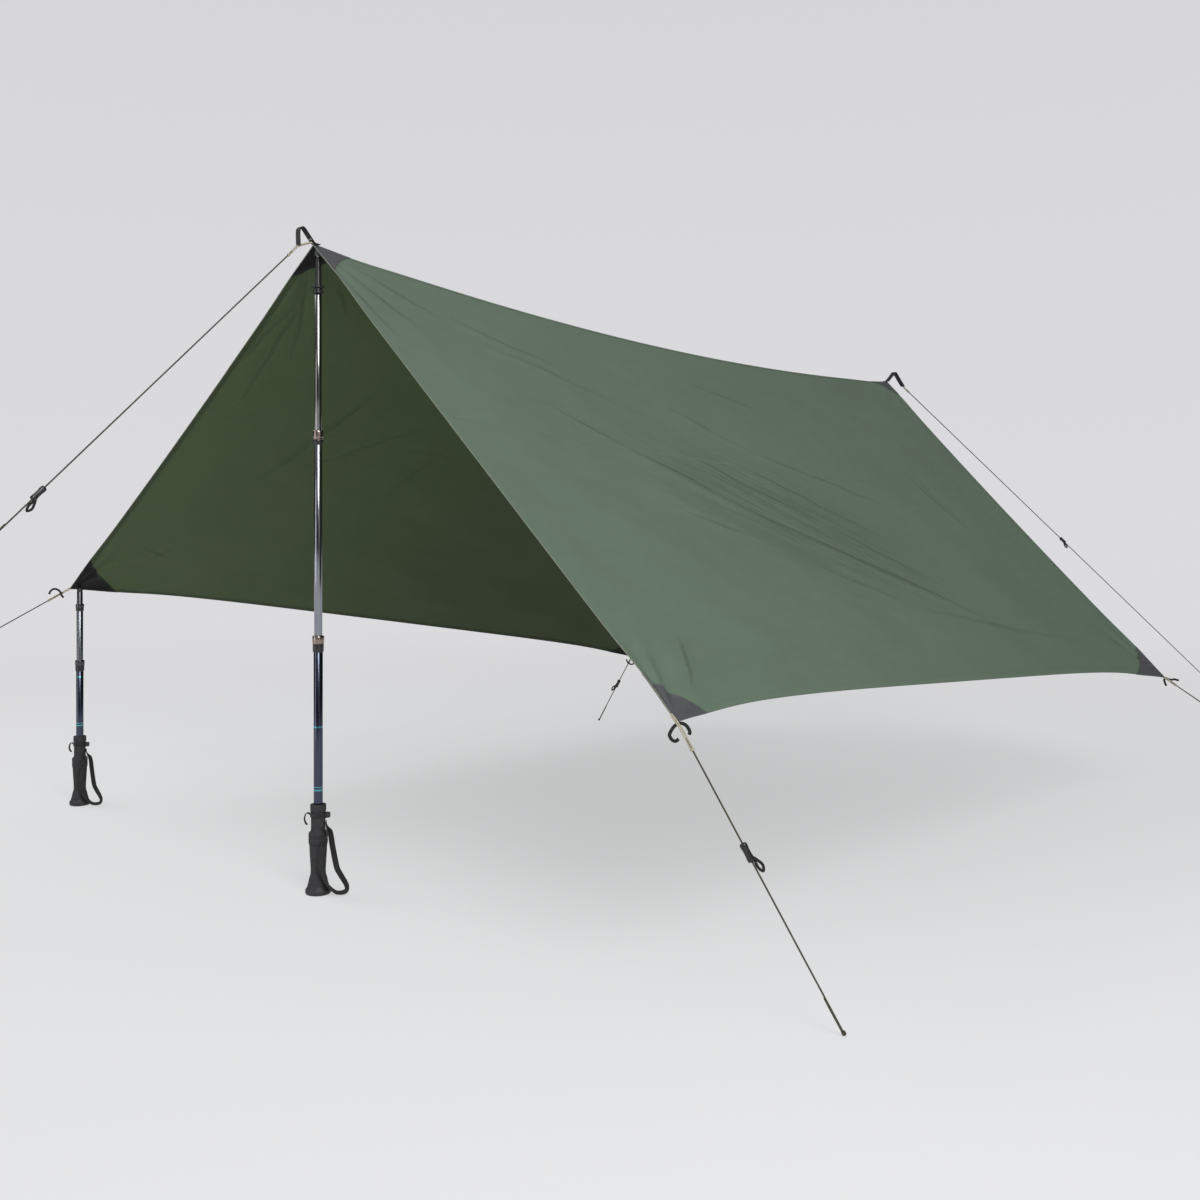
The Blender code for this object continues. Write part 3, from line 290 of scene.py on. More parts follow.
def doubled_tie(name, start, ahead, length, tack, over_hook):
    """Two strands that run from the knot over the hook to the tie-out, and round the place of their tack."""
    side = ahead.cross(FACING).normalized()
    proud = FACING * over_hook
    shape = ((1.0, 0.0014, 0.0), (0.7, 0.0015, 0.45), (0.35, 0.0015, 0.9), (0.05, 0.0014, 1.0))
    down, back = ([start + ahead * (length * share) + side * (apart * sense) + proud * rise
                   for share, apart, rise in shape] for sense in (1.0, -1.0))
    beyond = (tack - start).normalized()
    halfway = start.lerp(tack, 0.5) + proud * 0.9
    bight = [halfway + side * 0.0013, tack + side * 0.0010 + proud * 0.6, tack + beyond * TIE_RADIUS,
             tack - side * 0.0010 + proud * 0.6, halfway - side * 0.0013]
    route = eased([*down, *bight, *reversed(back)], 4)
    return wear(corded(name, route, TIE_RADIUS, 2), tie_finish)


guyline_finish = braid("guyline_braid", GUYLINE_OLIVE, GUYLINE_FLECK, 0.004, GUYLINE_RADIUS)
tie_finish = braid("tie_cord_braid", TIE_TAN, TIE_FLECK, 0.003, TIE_RADIUS)
guyline_starts = {}
for line_name, (tie_out, end, tie_length, clear) in GUYLINE_ROUTES.items():
    ahead = (end - tie_out).normalized()
    start = tie_out + ahead * clear
    # The guyline's near end lies hidden in its doubled tie
    tied_at = start + ahead * min(tie_length * 0.6, 0.020)
    places = [tied_at.lerp(end, step / GUYLINE_CELLS) for step in range(GUYLINE_CELLS + 1)]
    guyline = wear(corded(line_name + "_cord", places, GUYLINE_RADIUS), guyline_finish)
    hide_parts(line_name + "_guyline")
    tack = TIE_TACKS.get(line_name, start - ahead * 0.0008)
    over_hook = TIE_OVER_HOOK if line_name == "front_right" else 0.0
    tie = doubled_tie(line_name + "_tie", start, ahead, tie_length, tack, over_hook)
    knot = wound_knot(line_name + "_tie_knot", start + ahead * tie_length, ahead, GUYLINE_RADIUS,
                      TIE_RADIUS * 0.65, tie_finish)
    # The doubled strand is thin, so that the line lock passes over it, and lies away from the lock's eye
    beside = ahead.to_track_quat("Z", "X") @ Vector((-EYE_SIDES.get(line_name, 1.0), 0.0, 0.0))
    over = beside * (GUYLINE_RADIUS + DOUBLED_RADIUS)
    tail = [end - ahead * (DOUBLED_END * share) + over * rise
            for share, rise in ((1.0, 0.55), (0.97, 0.90), (0.90, 1.0), (0.50, 1.0), (0.02, 1.0))]
    doubled = wear(corded(line_name + "_doubled_end", eased(tail, 5), DOUBLED_RADIUS, 2), guyline_finish)
    knot_at = end + ahead * (END_KNOT_OFF if line_name == "front_peak" else -END_KNOT_OFF)
    whipping = wound_knot(line_name + "_end_knot", knot_at, ahead, GUYLINE_RADIUS, GUYLINE_RADIUS * 0.6,
                          guyline_finish)
    guyline_starts[line_name] = (start, ahead)


# Canopy: two panels of coated nylon on each side of the ridge, sewn into one sheet of 2.58 by 2.03 m. It is
# pulled tight between its corners and peaks, and keeps the creases of its stuff sack.
CLOTH_HALF_WIDTH = 1.290
CLOTH_LENGTH = 2.030
CLOTH_THICKNESS = 0.0008
PANEL_SEAM_FROM_RIDGE = 0.540
OUTER_GREEN = (0.112, 0.158, 0.114)
# The inner face is the outer green made darker and yellower: painted shade of the tarp's inside and a painted
# glow of the light let through the thin cloth.
INNER_SHADE_AND_GLOW_GREEN = (0.064, 0.095, 0.040)
ACROSS_CELLS = 246
ALONG_CELLS = 198
# How the grid's cells are shared out over the flat cloth: finely near its edges and the ridge
ACROSS_SHARES = ((0.0, -1.289), (0.105, -1.140), (0.385, -0.100),
                 (0.485, 0.100), (0.895, 1.140), (1.0, 1.289))
ALONG_SHARES = ((0.0, 0.001), (0.13, 0.150), (0.75, 1.400), (0.90, 1.880), (1.0, 2.029))
RIDGE_ROUNDING = 0.010
# The middle of each edge bows off the straight line between its corners
RIDGE_SAG = (0.0, 0.0, -0.050)
RIGHT_BOWS = {"eave": (-0.035, 0.0, 0.023), "front": (0.0, 0.010, -0.010)}
LEFT_BOWS = {"eave": (0.031, 0.0, 0.019), "front": (0.0, 0.008, 0.0)}
REAR_BOW = (0.0, -0.020, 0.0)
EAVE_POWER = 5.0
# Creases of the flat cloth: where each starts and ends, across from the ridge and along from the front, its
# height and its half width
CREASES = [
    ((0.132, 0.232), (0.262, 0.510), 0.0023, 0.012),
    ((0.198, 0.267), (0.379, 0.635), 0.0020, 0.013),
    ((0.414, 0.343), (0.551, 0.507), 0.0026, 0.014),
    ((0.551, 0.507), (0.705, 0.731), 0.0043, 0.016),
    ((0.705, 0.731), (1.018, 1.214), 0.0038, 0.017),
    ((0.551, 0.726), (0.731, 0.977), 0.0029, 0.015),
    ((0.731, 0.977), (0.987, 1.304), 0.0026, 0.015),
    ((0.759, 0.519), (0.835, 0.691), 0.0023, 0.014),
    ((0.902, 0.807), (1.030, 1.024), 0.0023, 0.014),
    ((0.163, 0.948), (0.259, 1.197), 0.0020, 0.013),
    ((0.302, 0.767), (0.450, 0.951), 0.0020, 0.013),
    ((0.450, 0.951), (0.654, 1.397), 0.0026, 0.015),
    ((1.051, 1.047), (1.175, 1.694), 0.0020, 0.013),
    ((0.463, 1.652), (0.777, 1.709), 0.0020, 0.010),
    ((0.392, 1.713), (0.772, 1.726), -0.0017, 0.010),
    ((0.076, 0.033), (0.235, 0.126), 0.0029, 0.010),
    ((0.050, 0.058), (0.154, 0.222), 0.0026, 0.010),
    ((0.100, 0.005), (0.284, 0.038), 0.0023, 0.010),
    ((1.242, 0.089), (1.134, 0.165), 0.0023, 0.010),
    ((-0.113, 0.051), (-0.478, 0.069), 0.0032, 0.010),
    ((-0.146, 0.046), (-0.391, 0.004), 0.0026, 0.010),
    ((-0.093, 0.100), (-0.151, 0.156), 0.0023, 0.010),
    ((-0.347, 0.362), (-0.560, 0.318), 0.0026, 0.010),
    ((-0.387, 0.358), (-0.746, 0.253), 0.0032, 0.012),
    ((-0.454, 0.545), (-0.683, 0.330), 0.0026, 0.012),
    ((-1.086, 0.094), (-1.126, 0.191), 0.0023, 0.010),
    ((-1.135, 0.141), (-1.071, 0.179), 0.0020, 0.010),
    ((-0.508, 0.660), (-0.747, 0.606), 0.0020, 0.012),
    ((-0.050, 0.075), (-0.165, 0.300), 0.0032, 0.011),
    ((-0.022, 0.090), (-0.060, 0.270), 0.0028, 0.010),
    ((-0.085, 0.030), (-0.300, 0.105), 0.0030, 0.012),
    ((0.605, 0.560), (0.860, 0.955), 0.0026, 0.011),
    ((0.640, 0.660), (0.900, 1.070), -0.0022, 0.011),
    ((0.800, 0.900), (1.130, 1.390), 0.0024, 0.012),
    ((0.500, 0.800), (0.800, 1.250), 0.0020, 0.011),
]
# How round a crease's crest is, and how far past its ends it still shows
CREST_ROUNDING = 0.004
CREASE_FADE = 0.02
# Pleats that run out from each held corner, twelve to a full turn: their height and how far they reach
PLEATS_ROUND = 12.0
CORNER_PLEATS = (
    (1.290, 0.0, 0.0030, 0.095),
    (-1.290, 0.0, 0.0034, 0.120),
    (1.290, 2.030, 0.0026, 0.110),
    (-1.290, 2.030, 0.0026, 0.110),
    (0.0, 0.0, 0.0022, 0.105),
    (0.0, 2.030, 0.0018, 0.090),
)
# The slack's waves: how many, their shortest and longest length, the middle and the spread of their bearings,
# their height over their length, and how far in from the edges they fade
SLACK_WAVES = 26
SLACK_LENGTHS = (0.07, 0.42)
SLACK_BEARINGS = (math.radians(148.0), math.radians(26.0))
SLACK_SHARE = 0.0016
SLACK_FADE = 0.12


def bowed(start, end, bow, share, power=2.0):
    """Places along an edge that bows off the line from start to end. share is a column of numbers."""
    return start + (end - start) * share + np.array(bow) * (1.0 - np.abs(2.0 * share - 1.0) ** power)


def half_pitched(front_corner, rear_corner, bows, across, along):
    """One side of the pitched surface, as a Coons patch between the ridge, the eave and the two ends."""
    u = np.abs(across)[:, None] / CLOTH_HALF_WIDTH
    v = along[:, None] / CLOTH_LENGTH
    front_peak, rear_peak = np.array(FRONT_PEAK), np.array(REAR_PEAK)
    front_corner, rear_corner = np.array(front_corner), np.array(rear_corner)
    ridge = bowed(front_peak, rear_peak, RIDGE_SAG, v)
    eave = bowed(front_corner, rear_corner, bows["eave"], v, EAVE_POWER)
    front = bowed(front_peak, front_corner, bows["front"], u)
    rear = bowed(rear_peak, rear_corner, REAR_BOW, u)
    inner = front_peak + (rear_peak - front_peak) * v
    outer = front_corner + (rear_corner - front_corner) * v
    return ridge * (1.0 - u) + eave * u + front * (1.0 - v) + rear * v - inner * (1.0 - u) - outer * u


def pitched(across, along):
    """Places on the smooth pitched surface of points of the flat cloth."""
    right = half_pitched(FRONT_RIGHT, REAR_RIGHT, RIGHT_BOWS, across, along)
    left = half_pitched(FRONT_LEFT, REAR_LEFT, LEFT_BOWS, across, along)
    return np.where(across[:, None] >= 0.0, right, left)


def outward(across, along):
    """Directions straight out of the pitched surface, which turn smoothly over the ridge."""
    step = 0.002
    normals = []
    for side in (1.0, -1.0):
        here = np.where(across * side < step, step * side, across)
        run = pitched(here + step / 2.0, along) - pitched(here - step / 2.0, along)
        rise = pitched(here, along + step / 2.0) - pitched(here, along - step / 2.0)
        normal = np.cross(run, rise)
        normals.append(normal / np.linalg.norm(normal, axis=1)[:, None])
    turn = np.clip(across / RIDGE_ROUNDING, -1.0, 1.0)[:, None]
    share = 0.5 + 0.75 * turn - 0.25 * turn ** 3
    normal = normals[0] * share + normals[1] * (1.0 - share)
    return normal / np.linalg.norm(normal, axis=1)[:, None]


def crease_heights(across, along):
    """How far the creases lift the cloth, each a soft gable that fades towards its ends."""
    lifted = np.zeros_like(across)
    for (start_across, start_along), (end_across, end_along), height, half_width in CREASES:
        run_across, run_along = end_across - start_across, end_along - start_along
        length = math.hypot(run_across, run_along)
        away_across, away_along = across - start_across, along - start_along
        share = (away_across * run_across + away_along * run_along) / length ** 2
        off = (away_across * run_along - away_along * run_across) / length
        past = np.maximum(0.0, np.abs(share - 0.5) - 0.5) * length
        fade = np.sin(math.pi * np.clip(share * 0.9 + 0.05, 0.0, 1.0)) ** 0.6
        fade *= np.exp(-(past / CREASE_FADE) ** 2)
        lifted += height * fade * np.exp(-np.sqrt(off ** 2 + CREST_ROUNDING ** 2) / half_width)
    return lifted


def pleat_heights(across, along):
    """How far the pleats at the corners and peaks lift the cloth."""
    lifted = np.zeros_like(across)
    for corner_across, corner_along, height, reach in CORNER_PLEATS:
        away = np.hypot(across - corner_across, along - corner_along)
        angle = np.arctan2(np.abs(along - corner_along), np.abs(across - corner_across) + 0.00001)
        swell = (away / reach) ** 2 * np.exp(1.0 - (away / reach) ** 2)
        lifted += height * swell * np.cos(angle * PLEATS_ROUND + 3.0 * np.sin(angle * 3.0))
    return lifted


def slack_heights(across, along):
    """Broad, shallow waves of a sheet that is never quite tight, from a fixed set of plane waves."""
    draw = np.random.default_rng(11)
    lifted = np.zeros_like(across)
    for _ in range(SLACK_WAVES):
        length = draw.uniform(*SLACK_LENGTHS)
        bearing = draw.normal(*SLACK_BEARINGS)
        phase = draw.uniform(0.0, math.tau)
        travel = np.abs(across) * math.cos(bearing) + along * math.sin(bearing)
        lifted += length * SLACK_SHARE * np.sin(travel * math.tau / length + phase)
    edge = np.minimum(np.abs(across), CLOTH_HALF_WIDTH - np.abs(across))
    edge = np.minimum(edge, np.minimum(along, CLOTH_LENGTH - along))
    return lifted * np.clip(edge / SLACK_FADE, 0.0, 1.0) ** 1.5


def laid(across, along, lift=0.0):
    """Places on the creased cloth of points of the flat cloth, lifted straight out of it."""
    across, along = np.asarray(across, dtype=float), np.asarray(along, dtype=float)
    height = crease_heights(across, along) + pleat_heights(across, along) + slack_heights(across, along)
    return pitched(across, along) + outward(across, along) * (height + lift)[:, None]


def flat_grid(name, columns, rows):
    """A grid of cells one by one, whose places and UVs are still to be set, with each corner's shares."""
    bpy.ops.object.select_all(action="DESELECT")
    bpy.ops.mesh.primitive_grid_add(x_subdivisions=columns, y_subdivisions=rows, size=1.0)
    piece = active_mesh_object(name)
    corners = np.empty(len(piece.data.vertices) * 3)
    piece.data.vertices.foreach_get("co", corners)
    corners = corners.reshape(-1, 3) + 0.5
    return piece, corners[:, 0], corners[:, 1]


def set_places(piece, places, flat_u, flat_v):
    """Move a grid's corners to their places, and set its UVs to its flat size in metres."""
    piece.data.vertices.foreach_set("co", np.asarray(places, dtype=float).ravel())
    owners = np.empty(len(piece.data.loops), dtype=int)
    piece.data.loops.foreach_get("vertex_index", owners)
    flat = np.column_stack((flat_u[owners], flat_v[owners]))
    piece.data.uv_layers[0].data.foreach_set("uv", flat.ravel())
    piece.data.update()


def modified(piece, kind, **settings):
    """Apply a modifier with its settings to a piece."""
    only(piece)
    bpy.ops.object.modifier_add(type=kind)
    modifier = piece.modifiers[-1]
    for setting, value in settings.items():
        setattr(modifier, setting, value)
    bpy.ops.object.modifier_apply(modifier=modifier.name)
    return piece


def thickened(piece, thickness, *faces):
    """Give a sheet its thickness, evenly to both sides, and the finishes of its outer and inner face."""
    for finish in faces:
        piece.data.materials.append(finish)
    return modified(piece, "SOLIDIFY", thickness=thickness, offset=0.0, use_even_offset=False,
                    material_offset=1 if faces else 0)


# The fine fold lines beside the creases: which way they run on the flat cloth, and the middle and the reach
# of the patch of cloth that has them
FOLD_BEARING = math.radians(56.0)
FOLD_MIDDLE = (0.74, 0.86)
FOLD_REACH = (0.66, 0.34)
# The creases' sharp crests in the finish: their half width, their height's share of the crease's own in
# millimetres, and how far their edges wander
CREST_HALF_WIDTH = 0.0090
CREST_SHARE = 900.0
CREST_STRAY = 0.022
WEAVE_PITCH = 0.0009


def smoothed(tree, value, start, end, low=0.0, high=1.0):
    """A number that goes smoothly from low to high as a value goes from start to end."""
    values = {"Value": value, "From Min": start, "From Max": end, "To Min": low, "To Max": high}
    return add_node(tree, "MapRange", values, interpolation_type="SMOOTHSTEP").outputs[0]


def length_of(tree, vector):
    """How long a vector is."""
    return add_node(tree, "VectorMath", {0: vector}, operation="LENGTH").outputs["Value"]


def fold_lines(tree, flat):
    """Long thin fold lines from 0 to 1, strongest in the middle of the creased patch of cloth."""
    place = {"Vector": flat, "Location": (*FOLD_MIDDLE, 0.0), "Rotation": (0.0, 0.0, FOLD_BEARING)}
    turned = add_node(tree, "Mapping", place, vector_type="TEXTURE").outputs["Vector"]
    fine = grain(tree, turned, 9.0, 3.0, (0.22, 3.4, 1.0))
    off = maths(tree, "ABSOLUTE", maths(tree, "MULTIPLY_ADD", fine, 7.0, -3.5))
    gable = maths(tree, "MAXIMUM", maths(tree, "SUBTRACT", 1.0, off), 0.0)
    reach = {"Vector": turned, "Scale": (1.0 / FOLD_REACH[0], 1.0 / FOLD_REACH[1], 0.0)}
    away = length_of(tree, add_node(tree, "Mapping", reach).outputs["Vector"])
    return maths(tree, "MULTIPLY", maths(tree, "POWER", gable, 2.0), smoothed(tree, away, 1.0, 0.15))


def sharp_creases(tree, flat):
    """The height of the sharp crests of all the creases, in millimetres, with their wandering edges."""
    stray = add_node(tree, "TexNoise", {"Vector": flat, "Scale": 11.0, "Detail": 3.0}).outputs["Color"]
    wandering = add_node(tree, "VectorMath", {0: stray, 1: (CREST_STRAY, CREST_STRAY, 0.0), 2: flat},
                         operation="MULTIPLY_ADD").outputs[0]
    total = 0.0
    for (start_across, start_along), (end_across, end_along), height, _ in CREASES:
        run_across, run_along = end_across - start_across, end_along - start_along
        turned = add_node(tree, "Mapping", {
            "Vector": wandering,
            "Location": ((start_across + end_across) / 2.0 + CREST_STRAY / 2.0,
                         (start_along + end_along) / 2.0 + CREST_STRAY / 2.0, 0.0),
            "Rotation": (0.0, 0.0, math.atan2(run_along, run_across)),
            "Scale": (math.hypot(run_across, run_along) * 0.6, CREST_HALF_WIDTH, 1.0),
        }, vector_type="TEXTURE")
        crest = add_node(tree, "TexGradient", {"Vector": turned.outputs["Vector"]},
                         gradient_type="SPHERICAL")
        total = maths(tree, "MULTIPLY_ADD", crest.outputs["Fac"], height * CREST_SHARE, total)
    return total


def coated_nylon(name, colour, mottle, roughness, sheen, folded=0.0, deepest_crease_shade=0.0):
    """Plain-woven nylon with a thin coat: fine weave, faint handling marks and a soft sheen.

    folded is how high its fold lines stand, and deepest_crease_shade is how far painted shade, with some
    wear, darkens the creases and fold lines at most."""
    material, tree, shader = shader_of(name, colour, roughness, specular=0.18)
    flat, across, along, _ = read_from(tree, "UV")
    weave = maths(tree, "MAXIMUM", wave(tree, across, WEAVE_PITCH), wave(tree, along, WEAVE_PITCH))
    threads = grain(tree, flat, 900.0, 2.0, (1.0, 0.06, 1.0))
    cloudy = grain(tree, flat, 3.2, 5.0)
    rubbed = grain(tree, flat, 38.0, 5.0, (1.0, 0.45, 1.0))
    tone = maths(tree, "MULTIPLY_ADD", cloudy, 0.55, maths(tree, "MULTIPLY", rubbed, 0.45))
    tone = maths(tree, "MULTIPLY_ADD", threads, 0.25, tone)
    spread = add_node(tree, "MapRange", {"Value": tone, "From Min": 0.35, "From Max": 0.90}).outputs[0]
    base = blended(tree, spread, tinted(colour, 1.0 - mottle), tinted(colour, 1.0 + mottle))
    height = maths(tree, "MULTIPLY_ADD", weave, 0.35, rubbed)
    if folded:
        folds = fold_lines(tree, flat)
        crests = sharp_creases(tree, flat)
        # Painted shade, with some wear: the creases and fold lines are darkened towards black, most along
        # their crests.
        colour_shift = maths(tree, "MULTIPLY_ADD", crests, 0.11, maths(tree, "MULTIPLY", folds, 0.22))
        base = blended(tree, maths(tree, "MINIMUM", colour_shift, deepest_crease_shade), base, (0.0, 0.0, 0.0))
        height = maths(tree, "MULTIPLY_ADD", folds, folded, height)
    bump = surfaced(tree, shader, base, height, 0.0005, 0.40)
    if folded:
        creased = add_node(tree, "Bump", {"Height": crests, "Distance": 0.001})
        tree.links.new(creased.outputs["Normal"], bump.inputs["Normal"])
    shader.inputs["Sheen Weight"].default_value = sheen
    shader.inputs["Sheen Roughness"].default_value = 0.45
    return material


outer_finish = coated_nylon("canopy_outer_face", OUTER_GREEN, 0.10, 0.50, 0.02, 6.0, 0.28)
# The inner face's green holds painted shade and a painted glow.
inner_finish = coated_nylon("canopy_inner_face", INNER_SHADE_AND_GLOW_GREEN, 0.08, 0.60, 0.01, 3.0, 0.08)
canopy, columns, rows = flat_grid("canopy_cloth", ACROSS_CELLS, ALONG_CELLS)
cloth_across = np.interp(columns, *np.transpose(ACROSS_SHARES))
cloth_along = np.interp(rows, *np.transpose(ALONG_SHARES))
set_places(canopy, laid(cloth_across, cloth_along), cloth_across, cloth_along)
thickened(canopy, CLOTH_THICKNESS, outer_finish, inner_finish)
bpy.ops.object.shade_smooth()
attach(canopy, "canopy")
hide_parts("right_upper_panel", "right_lower_panel", "left_upper_panel", "left_lower_panel")


# Hems and seams: every edge is rolled twice and sewn down, the ridge is a taped seam, and a felled seam
# joins the two panels of each side. All of them stand a little proud of the cloth.
HEM_WIDTH = 0.012
HEM_THICKNESS = 0.0022
SEAM_WIDTH = 0.007
SEAM_THICKNESS = 0.0011
RIDGE_TAPE_WIDTH = 0.014
LONG_STRIP_CELLS = 200
END_STRIP_CELLS = 130
SIDES = ((1.0, "right"), (-1.0, "left"))
hem_finish = coated_nylon("hem_fold", tinted(OUTER_GREEN, 1.02), 0.08, 0.52, 0.03)
# Painted shade: the hems' inner face is drawn darker still than the cloth's inner face, where the folded
# layers let no light through.
hem_inner_shade_finish = coated_nylon("hem_fold_inside", tinted(INNER_SHADE_AND_GLOW_GREEN, 0.55), 0.08, 0.58, 0.01)


def strip_on_cloth(name, start, end, width, thickness, cells, replaced, lining):
    """A sewn strip that lies on the cloth between two flat points, proud of both its faces."""
    strip, share_across, share_along = flat_grid(name, 8, cells)
    start, end = np.array(start), np.array(end)
    length = np.linalg.norm(end - start)
    ahead = (end - start) / length
    side = np.array((-ahead[1], ahead[0]))
    off = (0.5 - share_across) * width
    flat = start + np.outer(share_along, end - start) + np.outer(off, side)
    across = np.clip(flat[:, 0], -CLOTH_HALF_WIDTH, CLOTH_HALF_WIDTH)
    along = np.clip(flat[:, 1], 0.0, CLOTH_LENGTH)
    set_places(strip, laid(across, along), off, share_along * length)
    thickened(strip, thickness, hem_finish, lining)
    smooth_at(faced_outwards(strip), 60.0)
    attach(strip, "canopy")
    if replaced:
        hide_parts(*replaced)


edge = CLOTH_HALF_WIDTH - HEM_WIDTH / 2.0
for side, label in SIDES:
    strip_on_cloth(label + "_eave_rolled_hem", (side * edge, 0.0), (side * edge, CLOTH_LENGTH),
                   HEM_WIDTH, HEM_THICKNESS, LONG_STRIP_CELLS, [label + "_eave_hem"], hem_inner_shade_finish)
    for end_name, place in (("front", HEM_WIDTH / 2.0), ("rear", CLOTH_LENGTH - HEM_WIDTH / 2.0)):
        strip_on_cloth(f"{label}_{end_name}_rolled_hem", (0.0, place), (side * CLOTH_HALF_WIDTH, place),
                       HEM_WIDTH, HEM_THICKNESS, END_STRIP_CELLS, [f"{label}_{end_name}_hem"],
                       hem_inner_shade_finish)
    seam = side * PANEL_SEAM_FROM_RIDGE
    strip_on_cloth(label + "_panel_felled_seam", (seam, 0.0), (seam, CLOTH_LENGTH),
                   SEAM_WIDTH, SEAM_THICKNESS, LONG_STRIP_CELLS, [], inner_finish)
strip_on_cloth("ridge_taped_seam", (0.0, 0.0), (0.0, CLOTH_LENGTH), RIDGE_TAPE_WIDTH, HEM_THICKNESS,
               LONG_STRIP_CELLS, ["ridge_seam_tape"], inner_finish)
# Painted highlight: a pale thin cord along the fold of each front hem stands in for the light that the hem's
# edge catches
EDGE_HIGHLIGHT_RADIUS = 0.0007
EDGE_HIGHLIGHT_PLACES = 160
edge_highlight_cord_finish = braid("edge_highlight_cord", (0.19, 0.21, 0.16), (0.32, 0.34, 0.28), 0.003, EDGE_HIGHLIGHT_RADIUS)
for side, label in SIDES:
    shares = np.linspace(0.004, 0.998, EDGE_HIGHLIGHT_PLACES)
    places = laid(side * shares * CLOTH_HALF_WIDTH, np.full(EDGE_HIGHLIGHT_PLACES, -0.0004))
    cord = corded(label + "_front_edge_highlight_cord", [Vector(place) for place in places], EDGE_HIGHLIGHT_RADIUS, 2)
    wear(cord, edge_highlight_cord_finish)


# Reinforcing patches: dark grey ripstop, folded over each corner and each peak and sewn through the cloth
# with two rows of stitches. Their inner edges curve in towards the corner.
PATCH_GREY = (0.064, 0.066, 0.070)
PATCH_THICKNESS = 0.0036
THREAD_RADIUS = 0.00035
STITCH_PITCH = 0.0042
STITCH_SHARE = 0.72
STITCH_RISE = 1.4
PATCH_CONCAVITY = 0.22
# The side of the ridge on which each patch lies, with 0 for a peak, whether it is at the rear, and how far
# it reaches across and along
PATCHES = {
    "front_right": (1.0, False, 0.100, 0.092),
    "front_left": (-1.0, False, 0.135, 0.120),
    "rear_right": (1.0, True, 0.112, 0.140),
    "rear_left": (-1.0, True, 0.112, 0.130),
    "front_peak": (0.0, False, 0.095, 0.085),
    "rear_peak": (0.0, True, 0.070, 0.085),
}


def ripstop(name, colour, specular=0.35):
    """Tight dark nylon with a grid of thicker threads every 5 mm."""
    material, tree, shader = shader_of(name, colour, 0.55, specular=specular)
    flat, across, along, _ = read_from(tree, "UV")
    lines = [maths(tree, "POWER", wave(tree, axis, 0.005), 12.0) for axis in (across, along)]
    threads = maths(tree, "MAXIMUM", *lines)
    cloudy = grain(tree, flat, 60.0, 4.0)
    light = tinted(colour, 1.30)
    base = blended(tree, cloudy, tinted(colour, 0.85), light)
    base = blended(tree, maths(tree, "MULTIPLY", threads, 0.35), base, light)
    surfaced(tree, shader, base, maths(tree, "MULTIPLY_ADD", threads, 0.6, cloudy), 0.0004, 0.5)
    return material


patch_finish = ripstop("patch_ripstop", PATCH_GREY)
# Painted shade: the patches' inner face is the same ripstop drawn near-black, for the shade under the corners
# and peaks.
patch_underside_shade = ripstop("patch_underside_shade", (0.008, 0.008, 0.009), 0.10)


def patch_place(name, out, round_it):
    """Where a patch's shares out from its corner and round it lie on the flat cloth."""
    side, at_rear, reach_across, reach_along = PATCHES[name]
    turn = round_it * 2.0 - 1.0
    share = round_it if side else 1.0 - np.abs(turn)
    pull = (1.0 - PATCH_CONCAVITY) / 2.0
    across = reach_across * ((1.0 - share) ** 2 + 2.0 * share * (1.0 - share) * pull)
    along = reach_along * (share ** 2 + 2.0 * share * (1.0 - share) * pull)
    across = side * (CLOTH_HALF_WIDTH - across * out) if side else np.sign(turn) * across * out
    return across, (CLOTH_LENGTH - along * out if at_rear else along * out)


def sewn_patch(name, columns, rows):
    """A patch that is proud of both faces of the cloth."""
    patch, out, round_it = flat_grid(name + "_sewn_patch", columns, rows)
    across, along = patch_place(name, out, round_it)
    set_places(patch, laid(across, along), across, along)
    faced_outwards(patch, 0.0001)
    if sum(face.normal.z * face.area for face in patch.data.polygons) < 0.0:
        patch.data.flip_normals()
    thickened(patch, PATCH_THICKNESS, patch_finish, patch_underside_shade)
    smooth_at(patch, 60.0)
    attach(patch, "canopy")
    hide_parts(name + "_patch")


def stitch_row(name, across, along, off_cloth, thread):
    """A row of small raised stitches on both faces of the cloth, along a line of flat places."""
    across, along = np.broadcast_arrays(across, along)
    steps = np.hypot(np.diff(across), np.diff(along))
    reach = np.concatenate(([0.0], np.cumsum(steps)))
    starts = np.arange(STITCH_PITCH, reach[-1] - STITCH_PITCH, STITCH_PITCH)
    sewn = bmesh.new()
    for face in (1.0, -1.0):
        shares = [starts, starts + STITCH_PITCH * STITCH_SHARE / 2.0, starts + STITCH_PITCH * STITCH_SHARE]
        flat = [(np.interp(share, reach, across), np.interp(share, reach, along)) for share in shares]
        heads, middles, tails = (laid(*place, face * off_cloth) for place in flat)
        normals = outward(*flat[1]) * face
        sides = np.cross(tails - heads, normals)
        sides *= THREAD_RADIUS / np.linalg.norm(sides, axis=1)[:, None]
        for head, middle, tail, normal, side in zip(heads, middles, tails, normals, sides):
            high = sewn.verts.new(middle + normal * THREAD_RADIUS * STITCH_RISE)
            left = sewn.verts.new(middle + side)
            right = sewn.verts.new(middle - side)
            low = sewn.verts.new(middle - normal * THREAD_RADIUS)
            first, last = sewn.verts.new(head), sewn.verts.new(tail)
            ring = (high, left, low, right)
            for index in range(4):
                sewn.faces.new((ring[index], ring[(index + 1) % 4], first))
                sewn.faces.new((ring[(index + 1) % 4], ring[index], last))
    bmesh.ops.recalc_face_normals(sewn, faces=sewn.faces[:])
    mesh = bpy.data.meshes.new(name)
    sewn.to_mesh(mesh)
    sewn.free()
    mesh.shade_smooth()
    row = bpy.data.objects.new(name, mesh)
    bpy.context.scene.collection.objects.link(row)
    wear(row, thread)


